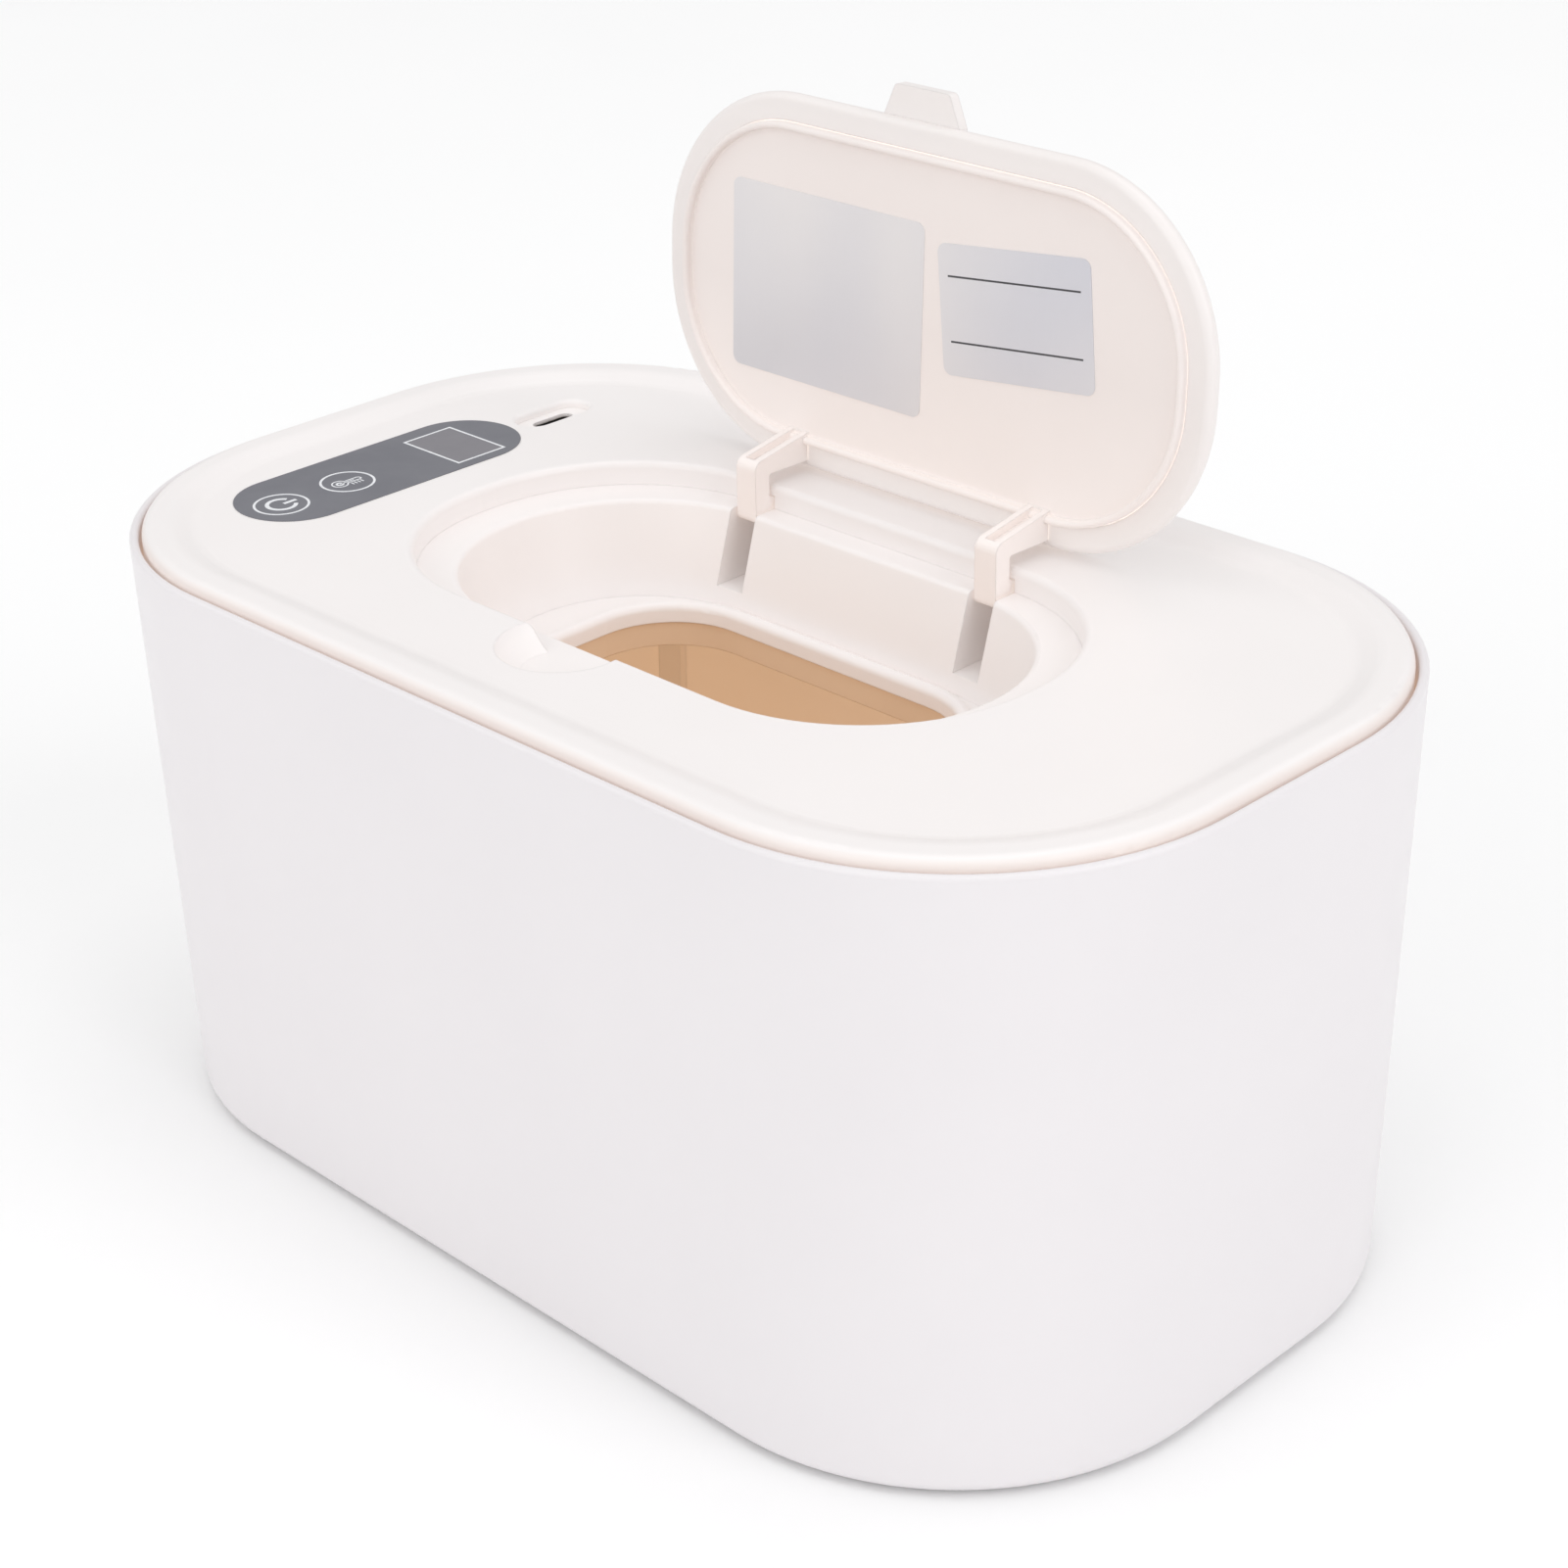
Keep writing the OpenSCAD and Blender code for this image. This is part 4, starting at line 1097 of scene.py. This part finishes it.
@dataclass
class Inlet:
    """The inlet socket: shell, tongue and its gold contacts."""

    shop: Workshop
    pitch: float = 0.5 * MM
    count: int = 12
    width: float = 0.25 * MM
    thick: float = 0.03 * MM
    length: float = 3.4 * MM
    nose: float = 0.25 * MM
    inset: float = 0.3 * MM

    def build(self) -> None:
        """Dresses the socket and lays its contacts on both faces of the tongue."""
        self.shop.dress("usb_socket_shell", Stock.SOCKET)
        self.shop.dress("usb_socket_tongue", Stock.TONGUE)
        low, high = corners_of("usb_socket_tongue")
        middle = middle_of("usb_socket_tongue")[1]
        form = bmesh.new()
        for side, face_x in ((-1.0, low.x), (1.0, high.x)):
            for i in range(self.count):
                y = middle + (i - (self.count - 1) / 2.0) * self.pitch
                self.contact(form, side, face_x, y, high.z - self.inset)
        self.shop.piece("socket_contacts", form, CONTACT_GOLD, "cover", Stock.SOCKET, smooth=False)

    def contact(self, form: bmesh.types.BMesh, side: float, face_x: float, y: float,
                top: float) -> None:
        """Adds one contact with a bevelled nose.

        Args:
            form: the mesh to add to.
            side: -1 or 1, the side of the tongue.
            face_x: the tongue's face.
            y: the contact's middle.
            top: the height of its nose.
        """
        outline = ((0.0, 0.0), (self.thick, -self.nose), (self.thick, -self.length),
                   (0.0, -self.length))
        rings = [[form.verts.new((face_x + side * out, y + half * self.width / 2.0, top + down))
                  for out, down in outline] for half in (-1.0, 1.0)]
        bridge(form, *rings)
        form.faces.new(rings[0])
        form.faces.new(list(reversed(rings[1])))


@dataclass
class ScrewSet:
    """Pan-head screws with a cross recess, driven upwards, in place of a plain set."""

    shop: Workshop
    node: str
    spots: tuple[Flat, ...]
    head_radius: float = SCREW_HEAD
    head_height: float = 1.6 * MM
    dome: tuple[Flat, ...] = ((0.86, 0.16 * MM), (0.97, 0.42 * MM), (1.0, 0.8 * MM))
    shank_radius: float = 1.3 * MM
    core_share: float = 0.8
    tip_share: float = 0.3
    pitch: float = 0.9 * MM
    recess: float = 1.45 * MM
    recess_rim: float = 1.18
    recess_foot: float = 0.6
    slot: float = 0.34 * MM
    depth: float = 0.9 * MM
    sides: int = 48

    def build(self) -> None:
        """Makes the set and replaces the plain one."""
        low, high = corners_of(self.node)
        form = bmesh.new()
        for x, y in self.spots:
            self.screw(form, Vector((x, y, low.z)), high.z - low.z)
        made = self.shop.piece(self.node + "_cross_head", form, FINISHES[Stock.SCREW], "cover",
                               Stock.SCREW)
        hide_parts(self.node)

    def cross(self, share: float = 1.0) -> list[Flat]:
        """The twelve corners of the recess, from +X round.

        Args:
            share: its size, as a share of the mouth's.

        Returns:
            The corners.
        """
        a, b = self.slot, self.recess
        quarter = [(b, -a), (b, a), (a, a)]
        corners: list[Flat] = []
        for turn in range(4):
            angle = turn * math.pi / 2.0
            c, s = round(math.cos(angle)), round(math.sin(angle))
            corners += [((x * c - y * s) * share, (x * s + y * c) * share) for x, y in quarter]
        return corners

    def screw(self, form: bmesh.types.BMesh, foot: Vector, length: float) -> None:
        """Adds one screw.

        Args:
            form: the mesh to add to.
            foot: the middle of the head's outer face.
            length: from that face to the tip.
        """
        rim = self.recess * self.recess_rim
        core = self.shank_radius * self.core_share
        outline = [(rim, 0.0)]
        outline += [(self.head_radius * share, height) for share, height in self.dome]
        outline += [(self.head_radius, self.head_height), (core, self.head_height)]
        for i in range(int((length - self.head_height) / self.pitch) - 1):
            base = self.head_height + i * self.pitch
            outline += [(core, base + 0.25 * self.pitch),
                        (self.shank_radius, base + 0.5 * self.pitch),
                        (core, base + 0.75 * self.pitch)]
        outline += [(core, length - self.pitch), (core * self.tip_share, length)]
        turned(form, outline, foot, self.sides, open_start=True)
        self.recessed_face(form, foot, rim)

    def recessed_face(self, form: bmesh.types.BMesh, foot: Vector, rim: float) -> None:
        """Closes the head's face round a cross-shaped recess.

        Args:
            form: the mesh to add to.
            foot: the middle of the face.
            rim: the radius of the open ring round it.
        """
        levels = ((circle(rim, self.sides), 0.0), (self.cross(), 0.0),
                  (self.cross(self.recess_foot), self.depth))
        outer, mouth, floor = ([form.verts.new(foot + Vector((x, y, height))) for x, y in points]
                               for points, height in levels)
        edges = [form.edges.new((ring[i], ring[(i + 1) % len(ring)])) for ring in (outer, mouth)
                 for i in range(len(ring))]
        bmesh.ops.triangle_fill(form, edges=edges, use_beauty=True, normal=(0.0, 0.0, -1.0))
        bridge(form, mouth, floor)
        form.faces.new(floor)


@dataclass
class Cover:
    """The cover with its well, and the board, housing and heater that it carries."""

    shop: Workshop
    plain: tuple[tuple[str, Stock], ...] = (
        ("top_cover", Stock.COVER), ("control_board", Stock.BOARD),
        ("electronics_housing", Stock.HOUSING), ("heater_frame", Stock.HOUSING),
        ("heater_plate", Stock.PLATE), ("heater_film", Stock.FILM), ("insulation_pad", Stock.PAD),
        ("thermistor", Stock.SENSOR), ("thermal_fuse", Stock.FUSE), ("heater_leads", Stock.LEAD),
        ("hinge_pin_left", Stock.PIN), ("hinge_pin_right", Stock.PIN),
    )

    def build(self) -> None:
        """Dresses the cover's nodes and makes its screws."""
        for node, stock in self.plain:
            self.shop.dress(node, stock)
        for node in ("board_screws", "frame_screws"):
            ScrewSet(self.shop, node, tuple(self.four_corners(node))).build()
        ScrewSet(self.shop, "housing_screws", self.housing_spots()).build()

    def four_corners(self, node: str) -> Iterator[Flat]:
        """The screws' middles where they stand at the corners of a rectangle.

        Args:
            node: the plain set's name.

        Returns:
            The four middles, in turn.
        """
        low, high = corners_of(node)
        for x in (low.x + SCREW_HEAD, high.x - SCREW_HEAD):
            for y in (low.y + SCREW_HEAD, high.y - SCREW_HEAD):
                yield x, y

    def housing_spots(self) -> tuple[Flat, ...]:
        """The housing's screws: two by its inner wall and one at its far end.

        Returns:
            Their middles.
        """
        low, high = corners_of("housing_screws")
        near, far = high.x - SCREW_HEAD, low.x + SCREW_HEAD
        return ((near, low.y + SCREW_HEAD), (near, high.y - SCREW_HEAD),
                (far, (low.y + high.y) / 2.0))


@dataclass
class Lid:
    """The flip lid: shell, liner and the two blank silver labels."""

    shop: Workshop
    hinge: str = "lid_hinge"
    back: float = 36.8 * MM
    face: float = 3.0 * MM
    label_thick: float = 0.12 * MM
    label_turn: float = math.radians(6.4)
    rule_width: float = 0.3 * MM
    rule_ink: float = 0.015 * MM
    rule_ends: Flat = (-13.4 * MM, 13.2 * MM)
    rule_heights: Flat = (5.3 * MM, -5.0 * MM)

    def build(self) -> None:
        """Dresses the lid and prints two plain rules on the small label."""
        self.shop.dress("lid_shell", Stock.COVER, LID_PLASTIC)
        self.shop.dress("lid_liner", Stock.LINER)
        for node in ("label_large", "label_small"):
            self.shop.dress(node, Stock.LABEL)
        self.label_rules()

    def swing(self) -> tuple[Vector, float]:
        """The middle of the hinge, and how far the lid stands open in radians."""
        joint = self.shop.joints[self.hinge]
        return Vector(joint["pos_m"]), math.radians(joint["range_deg"][1])

    def on_face(self, x: float, up: float, out: float) -> Vector:
        """A point on the open lid.

        Args:
            x: along the length, from the lid's middle.
            up: towards the tab, from the lid's middle.
            out: off the liner's face.

        Returns:
            The point in the frame.
        """
        pivot, lean = self.swing()
        turn = Matrix.Rotation(-lean, 3, "X")
        return pivot + turn @ Vector((x, -self.back - up, self.face - out))

    def label_rules(self) -> None:
        """Prints the two rules, turned with the label."""
        low, high = corners_of("label_small")
        pivot, lean = self.swing()
        middle = Matrix.Rotation(lean, 3, "X") @ ((low + high) / 2.0 - pivot)
        cos, sin = math.cos(self.label_turn), math.sin(self.label_turn)

        def place(px: float, py: float, pz: float) -> Vector:
            """Carries the label's own x, y and height into the frame."""
            up = -middle.y - self.back + px * sin + py * cos
            return self.on_face(middle.x + px * cos - py * sin, up, self.label_thick + pz)

        form = bmesh.new()
        for height in self.rule_heights:
            ends = [(x, height) for x in self.rule_ends]
            stroke(form, ends, self.rule_width, self.rule_ink, place)
        self.shop.piece("print_label_rules", form, INK_GREY, "flip_lid", Stock.LABEL, smooth=False)


# ---- Studio ----


@dataclass(frozen=True)
class SoftBox:
    """A large soft light."""

    name: str
    place: Triple
    aim: Triple
    watts: float
    colour: Colour = WHITE
    size: float = 3.0

    def build(self) -> None:
        """Makes the light."""
        data = bpy.data.lights.new(self.name, "AREA")
        data.shape = "DISK"
        data.size = self.size
        data.energy = self.watts
        data.color = self.colour
        made = bpy.data.objects.new(self.name, data)
        made.location = self.place
        towards = Vector(self.aim) - Vector(self.place)
        made.rotation_euler = towards.to_track_quat("-Z", "Y").to_euler()
        bpy.context.scene.collection.objects.link(made)


@dataclass
class Studio:
    """Floor, light and camera."""

    shop: Workshop
    azimuth: float = 45.21
    elevation: float = 26.81
    roll: float = -1.28
    eye: Triple = (0.3173, -0.3071, 0.2874)
    lens: float = 71.53
    sensor: float = 36.0
    sight: Flat = (0.01, 20.0)
    floor_half: float = 4.0
    floor_cells: int = 8
    sky: float = 0.645
    boxes: tuple[SoftBox, ...] = (
        SoftBox("Key_front", (0.1, -3.2, 1.6), (0.0, 0.0, 0.06), 25.5),
        SoftBox("Fill_right", (3.2, 0.3, 1.9), (0.0, 0.0, 0.06), 36.5, (0.98, 0.985, 1.0)),
        SoftBox("Fill_left", (-2.5, -2.0, 2.7), (0.0, 0.0, 0.06), 12.5),
        SoftBox("Top", (0.0, 0.0, 3.5), (0.0, 0.0, 0.08), 23.5),
        SoftBox("Back", (0.5, 2.4, 2.6), (0.0, 0.9, 0.0), 6.0),
    )

    def build(self) -> None:
        """Sets up the studio."""
        self.floor()
        self.sky_light()
        for box in self.boxes:
            box.build()
        self.camera()
        bpy.context.scene.view_settings.view_transform = "Standard"

    def floor(self) -> None:
        """Lays the pale floor."""
        form = bmesh.new()
        bmesh.ops.create_grid(form, x_segments=self.floor_cells, y_segments=self.floor_cells,
                              size=self.floor_half)
        mesh = bpy.data.meshes.new("studio_floor")
        form.to_mesh(mesh)
        form.free()
        mesh.materials.append(self.shop.material(FLOOR))
        made = bpy.data.objects.new("studio_floor", mesh)
        bpy.context.scene.collection.objects.link(made)

    def sky_light(self) -> None:
        """Surrounds the scene with even white light."""
        world = bpy.data.worlds.new("Studio_light")
        world.use_nodes = True
        background = world.node_tree.nodes["Background"]
        background.inputs["Color"].default_value = (*WHITE, 1.0)
        background.inputs["Strength"].default_value = self.sky
        bpy.context.scene.world = world

    def camera(self) -> None:
        """Places the camera at the photographed angle."""
        a, e, r = (math.radians(v) for v in (self.azimuth, self.elevation, self.roll))
        back = Vector((math.sin(a) * math.cos(e), -math.cos(a) * math.cos(e), math.sin(e)))
        level = Vector((math.cos(a), math.sin(a), 0.0))
        rise = back.cross(level)
        right = math.cos(r) * level + math.sin(r) * rise
        up = math.cos(r) * rise - math.sin(r) * level
        data = bpy.data.cameras.new("Camera")
        data.lens = self.lens
        data.sensor_width = self.sensor
        data.clip_start, data.clip_end = self.sight
        made = bpy.data.objects.new("Camera", data)
        matrix = Matrix((right, up, back)).transposed().to_4x4()
        matrix.translation = Vector(self.eye)
        made.matrix_world = matrix
        bpy.context.scene.collection.objects.link(made)
        bpy.context.scene.camera = made


def main() -> None:
    """Builds the scene."""
    logging.basicConfig(level=logging.INFO, format="%(name)s: %(message)s")
    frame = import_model()
    shop = Workshop(frame)
    for assembly in (Studio, Tub, Cover, ControlPanel, Inlet, Lid):
        assembly(shop).build()


if __name__ == "__main__":
    main()
